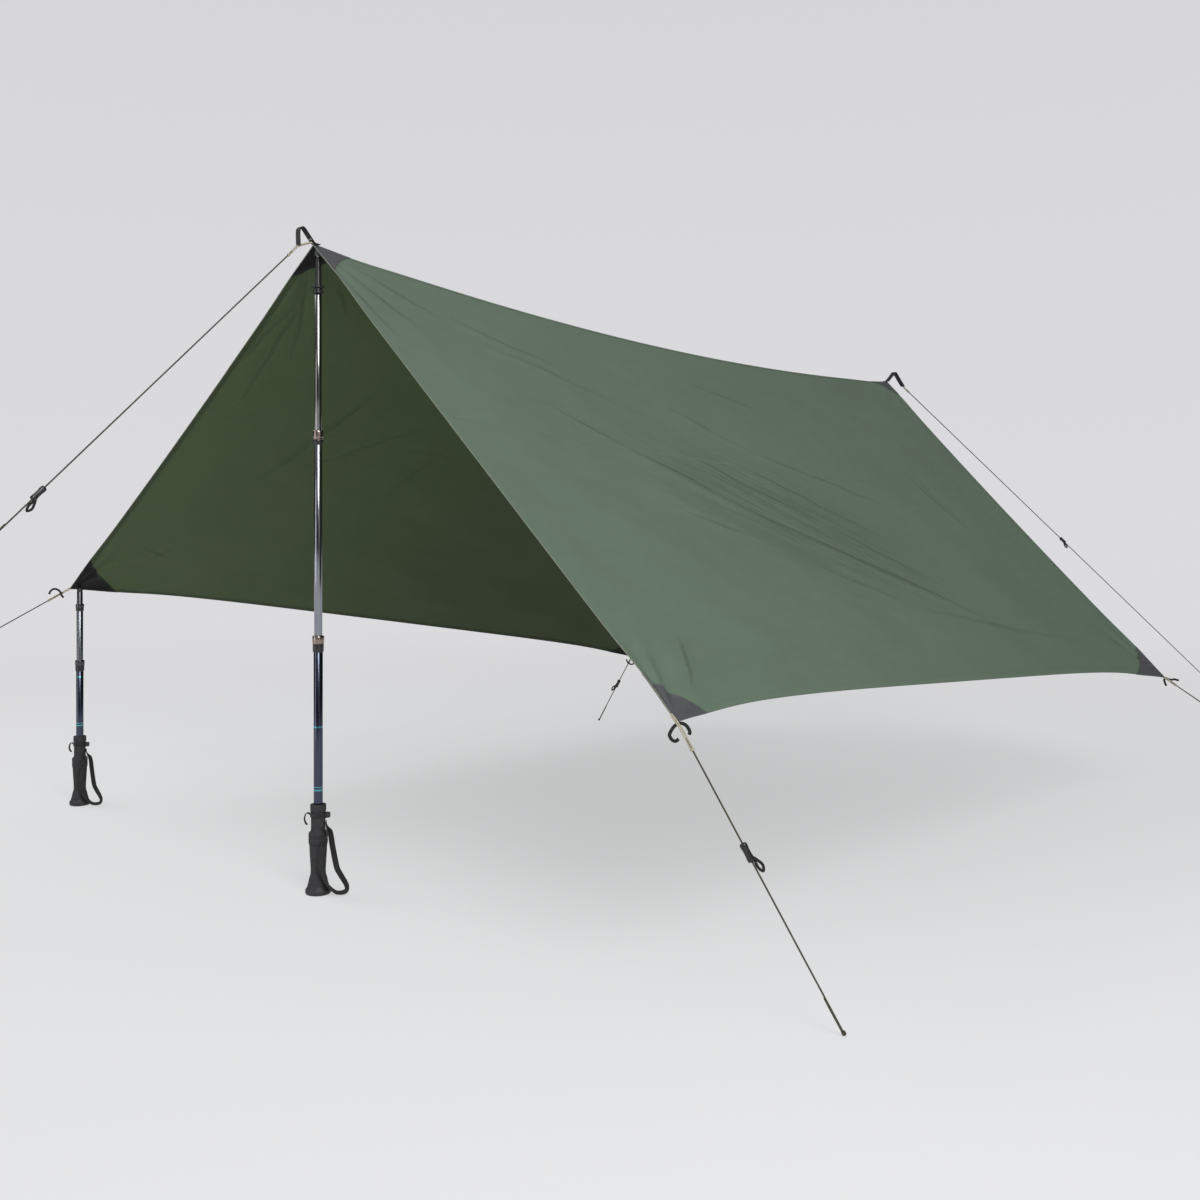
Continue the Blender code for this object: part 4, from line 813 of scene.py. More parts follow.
def spun_thread(name, colour):
    """Twisted polyester sewing thread."""
    material, tree, shader = shader_of(name, colour, 0.6, specular=0.3)
    fibres = grain(tree, read_from(tree, "Object")[0], 2500.0, 2.0)
    surfaced(tree, shader, blended(tree, fibres, colour, tinted(colour, 1.5)), fibres, 0.0001, 0.6)
    return material


green_thread = spun_thread("hem_thread", (0.105, 0.150, 0.105))
grey_thread = spun_thread("patch_thread", (0.085, 0.088, 0.092))
HEM_STITCH_INSET = 0.0015
SEAM_STITCH_OFF = 0.0025
RIDGE_STITCH_OFF = 0.0055
for side, label in SIDES:
    run_along = np.linspace(0.0, CLOTH_LENGTH, 400)
    run_across = side * np.linspace(0.0, CLOTH_HALF_WIDTH, 300)
    seam = side * PANEL_SEAM_FROM_RIDGE
    # Each row's name, its places across and along, and the thickness that it is sewn through
    for row_name, across, along, thickness in (
            ("eave", side * (CLOTH_HALF_WIDTH - HEM_WIDTH + HEM_STITCH_INSET), run_along, HEM_THICKNESS),
            ("front", run_across, HEM_WIDTH - HEM_STITCH_INSET, HEM_THICKNESS),
            ("rear", run_across, CLOTH_LENGTH - HEM_WIDTH + HEM_STITCH_INSET, HEM_THICKNESS),
            ("seam_inner", seam - SEAM_STITCH_OFF, run_along, SEAM_THICKNESS),
            ("seam_outer", seam + SEAM_STITCH_OFF, run_along, SEAM_THICKNESS),
            ("ridge", side * RIDGE_STITCH_OFF, run_along, HEM_THICKNESS)):
        stitch_row(f"{label}_{row_name}_stitches", across, along, thickness / 2.0, green_thread)
for name, (side, *_) in PATCHES.items():
    cells, samples, rows_at = ((26, 26), 80, (0.975, 0.925)) if side else ((24, 48), 120, (0.97, 0.91))
    sewn_patch(name, *cells)
    for row_name, share in zip(("outer", "inner"), rows_at):
        across, along = patch_place(name, share, np.linspace(0.0, 1.0, samples))
        stitch_row(f"{name}_{row_name}_stitches", across, along, PATCH_THICKNESS / 2.0, grey_thread)


# Peak loops: flat polyester webbing, sewn over the ridge and turned up into a stiff arch whose end takes the
# guyline. Two rivets hold the front one.
WEBBING_BLACK = (0.011, 0.011, 0.012)
LOOP_WIDTH = 0.015
LOOP_THICKNESS = 0.0018
FRONT_LOOP_SHAPE = (
    (0.0120, 0.0012), (0.0010, 0.0026), (-0.0040, 0.0065), (-0.0130, 0.0170), (-0.0235, 0.0290),
    (-0.0290, 0.0305), (-0.0340, 0.0265), (-0.0352, 0.0180), (-0.0350, 0.0080), (-0.0344, -0.0060),
)
REAR_LOOP_SHAPE = (
    (-0.0120, 0.0022), (-0.0010, 0.0026), (0.0040, 0.0060), (0.0190, 0.0170), (0.0370, 0.0320),
    (0.0420, 0.0335), (0.0470, 0.0310), (0.0600, 0.0200), (0.0760, 0.0065), (0.0925, -0.0070),
)


def woven_strap(name, colour, width):
    """Flat webbing: a tight chevron across its width, in ribs that run along it."""
    material, tree, shader = shader_of(name, colour, 0.75, specular=0.3)
    flat, across, along, _ = read_from(tree, "UV")
    chevron = wave(tree, maths(tree, "ADD", maths(tree, "ABSOLUTE", across), along), 0.0016)
    height = maths(tree, "MULTIPLY", chevron, wave(tree, across, width / 9.0))
    # The raised ribs of the weave are drawn lighter, in patches.
    colour_shift = maths(tree, "MULTIPLY", height, grain(tree, flat, 180.0, 4.0))
    light = tuple(part * 2.4 + 0.004 for part in colour)
    surfaced(tree, shader, blended(tree, colour_shift, colour, light), height, 0.0005, 0.9)
    shader.inputs["Sheen Weight"].default_value = 0.06
    return material


def strap_piece(name, path, across, width, thickness):
    """A flat strap along a path. across holds the direction of its width at each place."""
    strap, share_across, share_along = flat_grid(name, 6, len(path) - 1)
    reach = [0.0]
    for before, after in zip(path, path[1:]):
        reach.append(reach[-1] + (after - before).length)
    places, flat_along = [], []
    for wide, ahead_share in zip(share_across, share_along):
        index = round(ahead_share * (len(path) - 1))
        ahead = path[min(index + 1, len(path) - 1)] - path[max(index - 1, 0)]
        side = across[index] - ahead * (across[index].dot(ahead) / ahead.length_squared)
        places.append(path[index] + side.normalized() * ((wide - 0.5) * width))
        flat_along.append(reach[index])
    set_places(strap, places, (share_across - 0.5) * width, np.array(flat_along))
    modified(thickened(strap, thickness), "BEVEL", width=thickness * 0.3, segments=2, limit_method="ANGLE",
             angle_limit=math.radians(60.0))
    return smooth_at(faced_outwards(strap), 50.0)


def rings_on_axis(name, profile, sides, closed=False):
    """A round piece about Z, drawn up ring by ring from its first radius and height.

    A closed profile comes back down inside and meets its first ring."""
    (first_radius, first_height), *others = profile
    bpy.ops.object.select_all(action="DESELECT")
    bpy.ops.mesh.primitive_circle_add(vertices=sides, radius=first_radius, location=(0.0, 0.0, first_height),
                                      fill_type="NOTHING" if closed else "NGON")
    piece = active_mesh_object(name)
    bpy.ops.object.transform_apply(location=True)
    bpy.ops.object.mode_set(mode="EDIT")
    bpy.ops.mesh.select_all(action="SELECT")
    radius, height = first_radius, first_height
    for next_radius, next_height in others:
        bpy.ops.mesh.extrude_region_move(TRANSFORM_OT_translate={"value": (0.0, 0.0, next_height - height)})
        ratio = next_radius / radius
        bpy.ops.transform.resize(value=(ratio, ratio, 1.0), center_override=(0.0, 0.0, next_height))
        radius, height = next_radius, next_height
    bpy.ops.object.mode_set(mode="OBJECT")
    return faced_outwards(piece, 0.00001)


def moulded(name, colour, roughness, speck=0.15, specular=0.5):
    """Moulded plastic or rubber: fine grain, soft wear and a dusty bloom."""
    material, tree, shader = shader_of(name, colour, roughness, specular=specular)
    place = read_from(tree, "Object")[0]
    fine = grain(tree, place, 1400.0, 2.0)
    broad = grain(tree, place, 90.0, 5.0)
    light = tuple(part * (1.0 + 3.0 * speck) + 0.01 * speck for part in colour)
    base = blended(tree, broad, tinted(colour, 1.0 - speck), light)
    surfaced(tree, shader, base, maths(tree, "MULTIPLY_ADD", fine, 0.6, broad), 0.0002, 0.5)
    return material


webbing_finish = woven_strap("loop_webbing", WEBBING_BLACK, LOOP_WIDTH)
for name, peak, shape in (("front_peak", FRONT_PEAK, FRONT_LOOP_SHAPE),
                          ("rear_peak", REAR_PEAK, REAR_LOOP_SHAPE)):
    path = eased([peak + Vector((0.0, along, up)) for along, up in shape], 5)
    loop = strap_piece(name + "_webbing_loop", path, [Vector((1.0, 0.0, 0.0))] * len(path), LOOP_WIDTH,
                       LOOP_THICKNESS)
    wear(loop, webbing_finish)
    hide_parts(name + "_loop")
RIVET_RADIUS = 0.0015
RIVET_LEAN = math.radians(-40.6)
rivet_finish = moulded("loop_rivet", (0.36, 0.36, 0.34), 0.35)
for number, off in enumerate((-0.0034, 0.0034), 1):
    half = LOOP_THICKNESS / 2.0
    rivet = rings_on_axis(f"front_peak_rivet_{number}", [
        (RIVET_RADIUS * 0.6, -half - 0.0007), (RIVET_RADIUS, -half - 0.0004), (RIVET_RADIUS, -half),
        (RIVET_RADIUS, half), (RIVET_RADIUS, half + 0.0004), (RIVET_RADIUS * 0.6, half + 0.0007)], 16)
    rivet.data.transform(Matrix.Translation(FRONT_PEAK + Vector((off, -0.0074, 0.0105)))
                         @ Matrix.Rotation(RIVET_LEAN, 4, "X"))
    wear(smooth_at(rivet, 40.0), rivet_finish)


# Corner hooks: a short stiff cord at each corner whose tails curl as an open hook. The front right one bends
# round the end of its guyline, and the others ride beside theirs.
HOOK_RADIUS = 0.0026
HOOK_BESIDE = HOOK_RADIUS + GUYLINE_RADIUS + 0.0003
# The hooks' places out along the guyline and across it, how far past the corner they start, and how far they
# lie off the guyline's middle
HOOK_SHAPES = {
    "front_right": ((
        (0.0213, -0.0062), (0.0180, -0.0092), (0.0096, -0.0092), (0.0032, -0.0060), (0.0000, 0.0000),
        (0.0007, 0.0074), (0.0044, 0.0145), (0.0087, 0.0193), (0.0161, 0.0192), (0.0205, 0.0155),
        (0.0198, 0.0100),
    ), HOOK_RADIUS + 0.0006, 0.0),
    "front_left": ((
        (0.0240, -0.0125), (0.0255, -0.0065), (0.0245, 0.0000), (0.0250, 0.0075), (0.0290, 0.0145),
        (0.0350, 0.0185), (0.0420, 0.0190), (0.0480, 0.0165), (0.0520, 0.0125),
    ), 0.0, HOOK_BESIDE),
    "rear_right": ((
        (0.0185, 0.0140), (0.0150, 0.0125), (0.0090, 0.0085), (0.0050, 0.0040), (0.0065, -0.0010),
        (0.0140, -0.0030), (0.0210, -0.0060), (0.0260, -0.0110), (0.0320, -0.0130), (0.0365, -0.0150),
    ), 0.0, -HOOK_BESIDE),
    "rear_left": ((
        (0.0190, 0.0130), (0.0215, 0.0100), (0.0265, 0.0040), (0.0285, -0.0030), (0.0270, -0.0110),
        (0.0210, -0.0170), (0.0130, -0.0180), (0.0060, -0.0140),
    ), 0.0, HOOK_BESIDE),
}
hook_finish = braid("hook_cord_braid", (0.010, 0.010, 0.011), (0.035, 0.035, 0.035), 0.006, HOOK_RADIUS)
for name, (shape, past, beside) in HOOK_SHAPES.items():
    tie_out, end, _, _ = GUYLINE_ROUTES[name]
    out = (end - tie_out).normalized()
    sideways = out.cross(FACING).normalized()
    places = [tie_out + out * (past + along) + sideways * off + FACING * beside for along, off in shape]
    hook = wear(corded(name + "_cord_hook", eased(places, 5), HOOK_RADIUS, 4), hook_finish)
    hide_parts(name + "_hook")


# Line locks: small moulded nylon sleeves that the guyline runs through lengthways. An eye of stiff cord at
# the far end of each one lies beside the guyline, and a pull on it lets the lock slide.
LOCK_LENGTH = 0.030
LOCK_HALF_WIDTH = 0.0058
LOCK_WAIST = 0.0051
LOCK_BORE = 0.0029
LOCK_FLATNESS = 0.85
EYE_RADIUS = 0.0022
EYE_NEAR = GUYLINE_RADIUS + 0.0003 + EYE_RADIUS
EYE_FAR = EYE_NEAR + 0.0072
EYE_ROOT = LOCK_LENGTH / 2.0 - EYE_RADIUS * 2.0
EYE_TIP = LOCK_LENGTH / 2.0 + 0.0205 - EYE_RADIUS
EYE_ROOT_OFF = 0.00464
# The eye's places off the guyline, and its share of the way from root to tip
EYE_SHAPE = (
    (EYE_ROOT_OFF, 0.0), (EYE_NEAR, 0.30), (EYE_NEAR, 0.72), (EYE_NEAR + 0.0030, 1.0),
    (EYE_FAR - 0.0021, 1.0), (EYE_FAR, 0.78), (EYE_FAR, 0.58), (EYE_NEAR + 0.0038, 0.24), (EYE_ROOT_OFF, 0.0),
)
# Each lock's body and its distance along its guyline
LOCKS_AT = {"front_peak": ("front", 0.703), "rear_peak": ("rear", 0.940),
            "front_right": ("front_right", 0.207), "rear_left": ("rear_left", 0.1156)}
# The lock's outline from its end to its waist, as shares of its half width and half length
LOCK_OUTLINE = ((0.62, 1.0), (0.80, 0.97), (0.93, 0.90), (1.0, 0.78), (0.99, 0.60), (0.95, 0.45))
lock_finish = moulded("line_lock_nylon", (0.010, 0.010, 0.011), 0.30)
for line_name, (label, distance) in LOCKS_AT.items():
    half = LOCK_LENGTH / 2.0
    far_half = [(LOCK_HALF_WIDTH * radius, half * share) for radius, share in LOCK_OUTLINE]
    near_half = [(radius, -height) for radius, height in reversed(far_half)]
    lock = rings_on_axis(label + "_tensioner", [
        (LOCK_BORE, half), *far_half, (LOCK_WAIST, half * 0.30), (LOCK_WAIST, -half * 0.30), *near_half,
        (LOCK_BORE, -half), (LOCK_BORE, half)], 32, closed=True)
    start, ahead = guyline_starts[line_name]
    place = (Matrix.Translation(start + ahead * distance)
             @ ahead.to_track_quat("Z", "X").to_matrix().to_4x4()
             @ Matrix.Diagonal((1.0, LOCK_FLATNESS, 1.0, 1.0)))
    lock.data.transform(place)
    wear(smooth_at(lock, 40.0), lock_finish, label + "_lock")
    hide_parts(line_name + "_line_lock")
    route = [place @ Vector((EYE_SIDES[line_name] * off, 0.0, EYE_ROOT + share * (EYE_TIP - EYE_ROOT)))
             for off, share in EYE_SHAPE]
    wear(corded(label + "_tensioner_eye", eased(route, 6), EYE_RADIUS, 3), hook_finish,
         label + "_lock")


# Pole grips: the poles stand on their handles. Each handle is moulded rubber over the lower tube, with a
# wide pommel on the ground, a waist, a ringed shoulder and a plain collar round the tube.
TALL_FOOT = Vector((0.0, 0.0, 0.0))
SHORT_FOOT = Vector((-1.103, 0.006, 0.0))
FEET = {"tall": TALL_FOOT, "short": SHORT_FOOT}
LOWER_RADIUS = 0.0090
MIDDLE_RADIUS = 0.0080
UPPER_RADIUS = 0.0070
TUBE_WALL = 0.0006
GAP = 0.0003
GRIP_BLACK = (0.024, 0.024, 0.026)
RIB_PITCH = 0.0050
RIB_DEPTH = 0.0004
RIBS_BETWEEN = (0.048, 0.118)
grip_finish = moulded("grip_rubber", GRIP_BLACK, 0.72, 0.2, 0.35)
pommel_finish = moulded("pommel_rubber", GRIP_BLACK, 0.55, 0.15, 0.4)


def stood(name, replaced, profile, sides, degrees, foot, finish, body="canopy", closed=False):
    """A round piece that stands over a foot, in place of one of the frame's."""
    piece = rings_on_axis(name, profile, sides, closed)
    piece.data.transform(Matrix.Translation(foot))
    wear(smooth_at(piece, degrees), finish, body)
    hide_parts(replaced)


GRIP_OUTLINE = (
    (0.0212, 0.0163), (0.0192, 0.0230), (0.0178, 0.0300), (0.0166, 0.0345), (0.0155, 0.0370),
    (0.0149, 0.0420), (0.0148, 0.0460), (0.0150, 0.0520), (0.0157, 0.0620), (0.0163, 0.0720),
    (0.0170, 0.0850), (0.0176, 0.0960), (0.0182, 0.0985), (0.0188, 0.1010), (0.0190, 0.1050),
    (0.0190, 0.1117), (0.0183, 0.1123), (0.0183, 0.1129), (0.0190, 0.1135), (0.0190, 0.1170),
    (0.0189, 0.1192), (0.0182, 0.1212), (0.0160, 0.1230), (0.0146, 0.1245), (0.0141, 0.1280),
    (0.0141, 0.1560), (0.0141, 0.1620), (0.0150, 0.1626), (0.0156, 0.1640), (0.0156, 0.1750),
    (0.0152, 0.1766), (0.0143, 0.1770), (0.0093, 0.1770), (0.0093, 0.0321), (0.0030, 0.0319),
)


def ribbed(outline):
    """The grip's outline with finger rings cut into its waist and shoulder."""
    rings = []
    for (radius, height), (next_radius, next_height) in zip(outline, outline[1:]):
        rings.append((radius, height))
        between = RIBS_BETWEEN[0] < height < RIBS_BETWEEN[1] and next_height - height > RIB_PITCH / 2.0
        count = round((next_height - height) / RIB_PITCH) if between else 0
        for step in range(count):
            base = height + (next_height - height) * step / count
            for share, depth in ((0.15, 0.0), (0.40, 0.0), (0.55, 1.0), (0.80, 1.0)):
                at = base + share * (next_height - height) / count
                here = radius + (next_radius - radius) * (at - height) / (next_height - height)
                rings.append((here - RIB_DEPTH * depth, at))
    rings.append(outline[-1])
    return rings


for pole, foot in FEET.items():
    section = pole + "_lower_section"
    stood(pole + "_pommel_cap", pole + "_pole_pommel", [
        (0.0225, 0.0), (0.0238, 0.0004), (0.0248, 0.0016), (0.0252, 0.0030), (0.0252, 0.0078),
        (0.0248, 0.0092), (0.0238, 0.0106), (0.0226, 0.0118), (0.0216, 0.0145), (0.0211, 0.0160),
    ], 64, 40.0, foot, pommel_finish, section)
    stood(pole + "_moulded_grip", pole + "_pole_grip", ribbed(GRIP_OUTLINE), 64, 35.0, foot, grip_finish,
          section)


# Wrist straps: webbing that hangs from the grip's neck, turns over on the ground and comes back up in
# front of the grip, where a wedge clamps it.
STRAP_WIDTH = 0.012
STRAP_THICKNESS = 0.0018
NECK_RADIUS = 0.0141
SHOULDER_RADIUS = 0.0190
WEDGE_LENGTH = 0.0095
WEDGE_WIDTH = 0.010
WEDGE_HEIGHT = 0.012
STRAP_OUT = Vector((math.cos(FACING_BEARING), math.sin(FACING_BEARING), 0.0))
STRAP_CLEAR = NECK_RADIUS + STRAP_THICKNESS / 2.0 + GAP
STRAP_FRONT = SHOULDER_RADIUS + STRAP_WIDTH / 2.0 + 0.0012
# The strap's route: reach out from the pole, place sideways, height, and the degrees that it is twisted
STRAP_ROUTE = (
    (STRAP_CLEAR, 0.000, 0.1420, 0.0), (STRAP_CLEAR + 0.0012, -0.002, 0.1360, 18.0),
    (0.0180, -0.0085, 0.1280, 52.0), (0.0200, -0.0150, 0.1200, 68.0), (0.0222, -0.0165, 0.1080, 76.0),
    (0.0240, -0.0150, 0.0970, 80.0), (0.0280, -0.0100, 0.0815, 80.0), (0.0323, -0.0050, 0.0657, 82.0),
    (0.0373, 0.0000, 0.0498, 80.0), (0.0422, 0.0030, 0.0420, 78.0), (0.0481, 0.0060, 0.0340, 75.0),
    (0.0540, 0.0085, 0.0260, 70.0), (0.0588, 0.0105, 0.0170, 60.0), (0.0580, 0.0120, 0.0085, 40.0),
    (0.0490, 0.0135, 0.0050, 25.0), (0.0370, 0.0175, 0.0078, 10.0), (0.0240, STRAP_FRONT, 0.0240, 0.0),
    (0.0120, STRAP_FRONT, 0.0460, 0.0), (0.0060, STRAP_FRONT, 0.0660, 0.0),
    (0.0080, STRAP_FRONT, 0.0880, 0.0), (0.0130, STRAP_FRONT - 0.002, 0.1060, 0.0),
    (0.0215, 0.0180, 0.1180, 0.0), (0.0190, 0.0120, 0.1250, 0.0),
    (STRAP_CLEAR + 0.0004, 0.0070, 0.1285, 0.0),
)
STRAP_STEPS = 5
# The loose tail that is left over at the back of the neck, as reach out from the pole and height
TAIL_ROUTE = ((-0.0160, 0.1560), (-0.0195, 0.1590), (-0.0235, 0.1580), (-0.0262, 0.1530), (-0.0272, 0.1460),
              (-0.0250, 0.1395), (-0.0215, 0.1355))
TAIL_WIDTH = 0.0075
BAND_WIDTH = 0.0080
BAND_OPENING = math.radians(24.0)
BAND_HEIGHT = 0.1560
WEDGE_TOP = 0.1614
wrist_finish = woven_strap("wrist_strap_webbing", (0.020, 0.020, 0.021), STRAP_WIDTH)
for pole, foot in FEET.items():
    path = eased([foot + STRAP_OUT * reach + FACING * sideways + UP * height
                  for reach, sideways, height, _ in STRAP_ROUTE], STRAP_STEPS)
    across = []
    for index in range(len(path)):
        ahead = path[min(index + 1, len(path) - 1)] - path[max(index - 1, 0)]
        step, part = divmod(index, STRAP_STEPS)
        turns = [STRAP_ROUTE[min(step + more, len(STRAP_ROUTE) - 1)][3] for more in (0, 1)]
        turn = -math.radians(turns[0] + (turns[1] - turns[0]) * part / STRAP_STEPS)
        flat_side = ahead.normalized().cross(FACING)
        across.append(FACING * math.cos(turn) + flat_side * math.sin(turn))
    section = pole + "_lower_section"
    strap = strap_piece(pole + "_hand_strap", path, across, STRAP_WIDTH, STRAP_THICKNESS)
    wear(strap, wrist_finish, pole + "_strap")
    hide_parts(pole + "_pole_wrist_strap")
    band_radius = NECK_RADIUS + STRAP_THICKNESS / 2.0
    turns = [BAND_OPENING + (math.tau - 2.0 * BAND_OPENING) * step / 40.0 for step in range(41)]
    ring = [foot + (STRAP_OUT * math.cos(turn) + FACING * math.sin(turn)) * band_radius + UP * BAND_HEIGHT
            for turn in turns]
    band = strap_piece(pole + "_neck_band", ring, [UP] * len(ring), BAND_WIDTH, STRAP_THICKNESS)
    wear(band, wrist_finish, section)
    tail = eased([foot + STRAP_OUT * reach + UP * height for reach, height in TAIL_ROUTE], 5)
    end = strap_piece(pole + "_strap_tail", tail, [FACING] * len(tail), TAIL_WIDTH, STRAP_THICKNESS)
    wear(end, wrist_finish, section)
    bpy.ops.object.select_all(action="DESELECT")
    bpy.ops.mesh.primitive_cube_add(size=1.0)
    wedge = active_mesh_object(pole + "_clamp_wedge")
    for corner in wedge.data.vertices:
        taper = 0.8 if corner.co.x > 0.0 else 1.0
        corner.co = Vector((corner.co.x * WEDGE_LENGTH, corner.co.y * WEDGE_WIDTH * taper,
                            corner.co.z * WEDGE_HEIGHT * taper))
    bpy.ops.object.mode_set(mode="EDIT")
    bpy.ops.mesh.select_all(action="SELECT")
    bpy.ops.mesh.bevel(offset=0.0016, segments=4, affect="EDGES")
    bpy.ops.object.mode_set(mode="OBJECT")
    wedge_out = NECK_RADIUS + GAP + WEDGE_LENGTH / 2.0
    wedge_at = foot + STRAP_OUT * wedge_out + UP * (WEDGE_TOP - WEDGE_HEIGHT / 2.0)
    wedge.data.transform(Matrix.Translation(wedge_at) @ Matrix.Rotation(FACING_BEARING, 4, "Z"))
    wear(smooth_at(wedge, 40.0), pommel_finish, section)
    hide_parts(pole + "_pole_strap_wedge")


# Pole tubes: drawn aluminium, anodised navy at the bottom and grey above, and open at the top. Each slides
# into the one below it.
TUBES = {
    "tall": {"lower": (0.0323, 0.4876), "middle": (0.4176, 0.8950), "upper": (0.8150, 1.1890)},
    "short": {"lower": (0.0323, 0.3518), "middle": (0.1578, 0.5032), "upper": (0.2532, 0.5490)},
}
TUBE_RADII = {"lower": LOWER_RADIUS, "middle": MIDDLE_RADIUS, "upper": UPPER_RADIUS}
TEAL_PRINT = (0.10, 0.42, 0.48)


def anodised(name, colour, roughness, bands=()):
    """Anodised tube: fine drawing lines along it, faint scuffs, and plain printed rings where asked.

    Each band is its height and its width."""
    material, tree, shader = shader_of(name, colour, roughness, metallic=1.0)
    place, _, _, height = read_from(tree, "Object")
    drawn = grain(tree, place, 900.0, 3.0, (1.0, 1.0, 0.02))
    scuffed = grain(tree, place, 70.0, 6.0, (1.0, 1.0, 0.35))
    base = blended(tree, maths(tree, "MULTIPLY", drawn, scuffed), colour, tinted(colour, 1.3))
    for middle, width in bands:
        off = maths(tree, "ABSOLUTE", maths(tree, "SUBTRACT", height, middle))
        base = blended(tree, maths(tree, "LESS_THAN", off, width / 2.0), base, TEAL_PRINT)
    surfaced(tree, shader, base, drawn, 0.00012, 0.5)
    return material


# The short pole's grey tubes are darker than the tall one's
tube_finishes = {
    "lower": anodised("lower_tube_anodising", (0.070, 0.078, 0.115), 0.20,
                      ((0.205, 0.0030), (0.211, 0.0015), (0.330, 0.0030))),
    "middle": anodised("middle_tube_anodising", (0.270, 0.285, 0.320), 0.16),
    "upper": anodised("upper_tube_anodising", (0.240, 0.240, 0.235), 0.16),
    "short_middle": anodised("short_middle_tube_anodising", (0.200, 0.210, 0.235), 0.26),
    "short_upper": anodised("short_upper_tube_anodising", (0.075, 0.075, 0.078), 0.28),
}
for pole, foot in FEET.items():
    sections = {"lower": pole + "_lower_section", "middle": pole + "_middle_section", "upper": "canopy"}
    for level, (bottom, top) in TUBES[pole].items():
        radius = TUBE_RADII[level]
        inner = radius - TUBE_WALL
        finish = tube_finishes.get(f"{pole}_{level}", tube_finishes[level])
        stood(f"{pole}_{level}_shaft", f"{pole}_pole_{level}_tube", [
            (inner, bottom), (radius - 0.0002, bottom), (radius, bottom + 0.0003), (radius, top - 0.0003),
            (radius - 0.0002, top), (inner, top), (inner, bottom),
        ], 48, 40.0, foot, finish, sections[level], closed=True)


# Twist locks: a black sleeve pressed over the end of each wider tube, and above it a barrel nut that turns
# to grip the thinner tube, bronze on the tall pole and black on the short one.
LOCK_HEIGHTS = {
    ("tall", "lower"): (0.4780, 0.016, 0.016), ("tall", "upper"): (0.8890, 0.010, 0.018),
    ("short", "lower"): (0.3440, 0.013, 0.015), ("short", "upper"): (0.4990, 0.007, 0.011),
}
LOCK_RADII = {"lower": (0.0117, LOWER_RADIUS, MIDDLE_RADIUS), "upper": (0.0104, MIDDLE_RADIUS, UPPER_RADIUS)}
sleeve_finish = moulded("lock_sleeve_nylon", (0.014, 0.014, 0.015), 0.30)
barrel_finishes = {"tall": anodised("bronze_lock_barrel", (0.300, 0.240, 0.215), 0.24),
                   "short": anodised("black_lock_barrel", (0.085, 0.085, 0.090), 0.24)}
for (pole, level), (bottom, sleeve_length, nut_length) in LOCK_HEIGHTS.items():
    radius, wide_tube, thin_tube = LOCK_RADII[level]
    outside = radius * 0.93
    seat = bottom + sleeve_length * 0.6 + GAP
    top = bottom + sleeve_length
    foot = FEET[pole]
    section = pole + ("_lower_section" if level == "lower" else "_middle_section")
    stood(f"{pole}_{level}_sleeve", f"{pole}_pole_{level}_lock_sleeve", [
        (wide_tube + GAP, bottom), (outside * 0.90, bottom), (outside * 0.97, bottom + sleeve_length * 0.08),
        (outside, bottom + sleeve_length * 0.20), (outside, top - sleeve_length * 0.12),
        (outside * 0.97, top - sleeve_length * 0.02), (outside * 0.93, top), (thin_tube + GAP, top),
        (thin_tube + GAP, seat), (wide_tube + GAP, seat), (wide_tube + GAP, bottom),
    ], 48, 40.0, foot, sleeve_finish, section, closed=True)
    base = top + GAP
    stood(f"{pole}_{level}_barrel", f"{pole}_pole_{level}_lock_nut", [
        (thin_tube + GAP, base), (radius * 0.94, base), (radius * 0.98, base + nut_length * 0.03),
        (radius * 0.98, base + nut_length * 0.08), (radius * 0.945, base + nut_length * 0.10),
        (radius * 0.945, base + nut_length * 0.18), (radius * 0.985, base + nut_length * 0.22),
        (radius, base + nut_length * 0.32), (radius, base + nut_length * 0.82),
        (radius * 0.975, base + nut_length * 0.93), (radius * 0.90, base + nut_length),
        (thin_tube + GAP, base + nut_length), (thin_tube + GAP, base),
    ], 48, 30.0, foot, barrel_finishes[pole], f"{pole}_{level}_nut", closed=True)


# Pole tips: a moulded ferrule with two flanges and a steel spike, which stands in a cloth pocket under the
# front peak, and a blunt plastic cap under the front left corner.
steel_finish = anodised("spike_steel", (0.42, 0.42, 0.42), 0.35)
low = 1.1893
flange = 0.0035
stood("tall_tip_ferrule", "tall_pole_ferrule", [
    (0.0112, low), (0.01175, low + 0.0004), (0.01175, low + flange * 0.9), (0.0112, low + flange),
    (0.00805, low + 1.2 * flange), (0.00805, low + 2.8 * flange), (0.0120, low + 3.0 * flange),
    (0.0125, low + 3.2 * flange), (0.0125, low + 3.9 * flange), (0.0120, low + 4.05 * flange),
    (0.0070, low + 4.2 * flange), (0.00658, low + 0.030), (0.0060, low + 0.045), (0.0052, low + 0.066),
    (0.0048, 1.2610),
], 48, 35.0, TALL_FOOT, sleeve_finish)
stood("tall_tip_spike", "tall_pole_spike", [
    (0.0036, 1.2613), (0.0036, 1.2690), (0.0030, 1.2708), (0.0022, 1.2724), (0.0018, 1.2730),
], 24, 40.0, TALL_FOOT, steel_finish)
pocket_low, pocket_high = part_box("peak_tip_pocket")
stood("tip_pocket", "peak_tip_pocket", [
    (0.0039, pocket_low[2]), (0.0066, pocket_low[2]), (0.0068, pocket_low[2] + 0.004), (0.0066, 1.2745),
    (0.0050, 1.2765), (0.0020, pocket_high[2]),
], 32, 40.0, TALL_FOOT, patch_finish)
cap_low, cap_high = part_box("short_pole_cap")
stood("short_tip_cap", "short_pole_cap", [
    (0.0068, cap_low[2]), (0.0070, cap_low[2] + 0.0005), (0.0070, cap_low[2] + 0.0042),
    (0.0062, cap_low[2] + 0.0068), (0.0054, cap_low[2] + 0.0090), (0.0048, cap_high[2]),
], 48, 35.0, SHORT_FOOT, sleeve_finish)


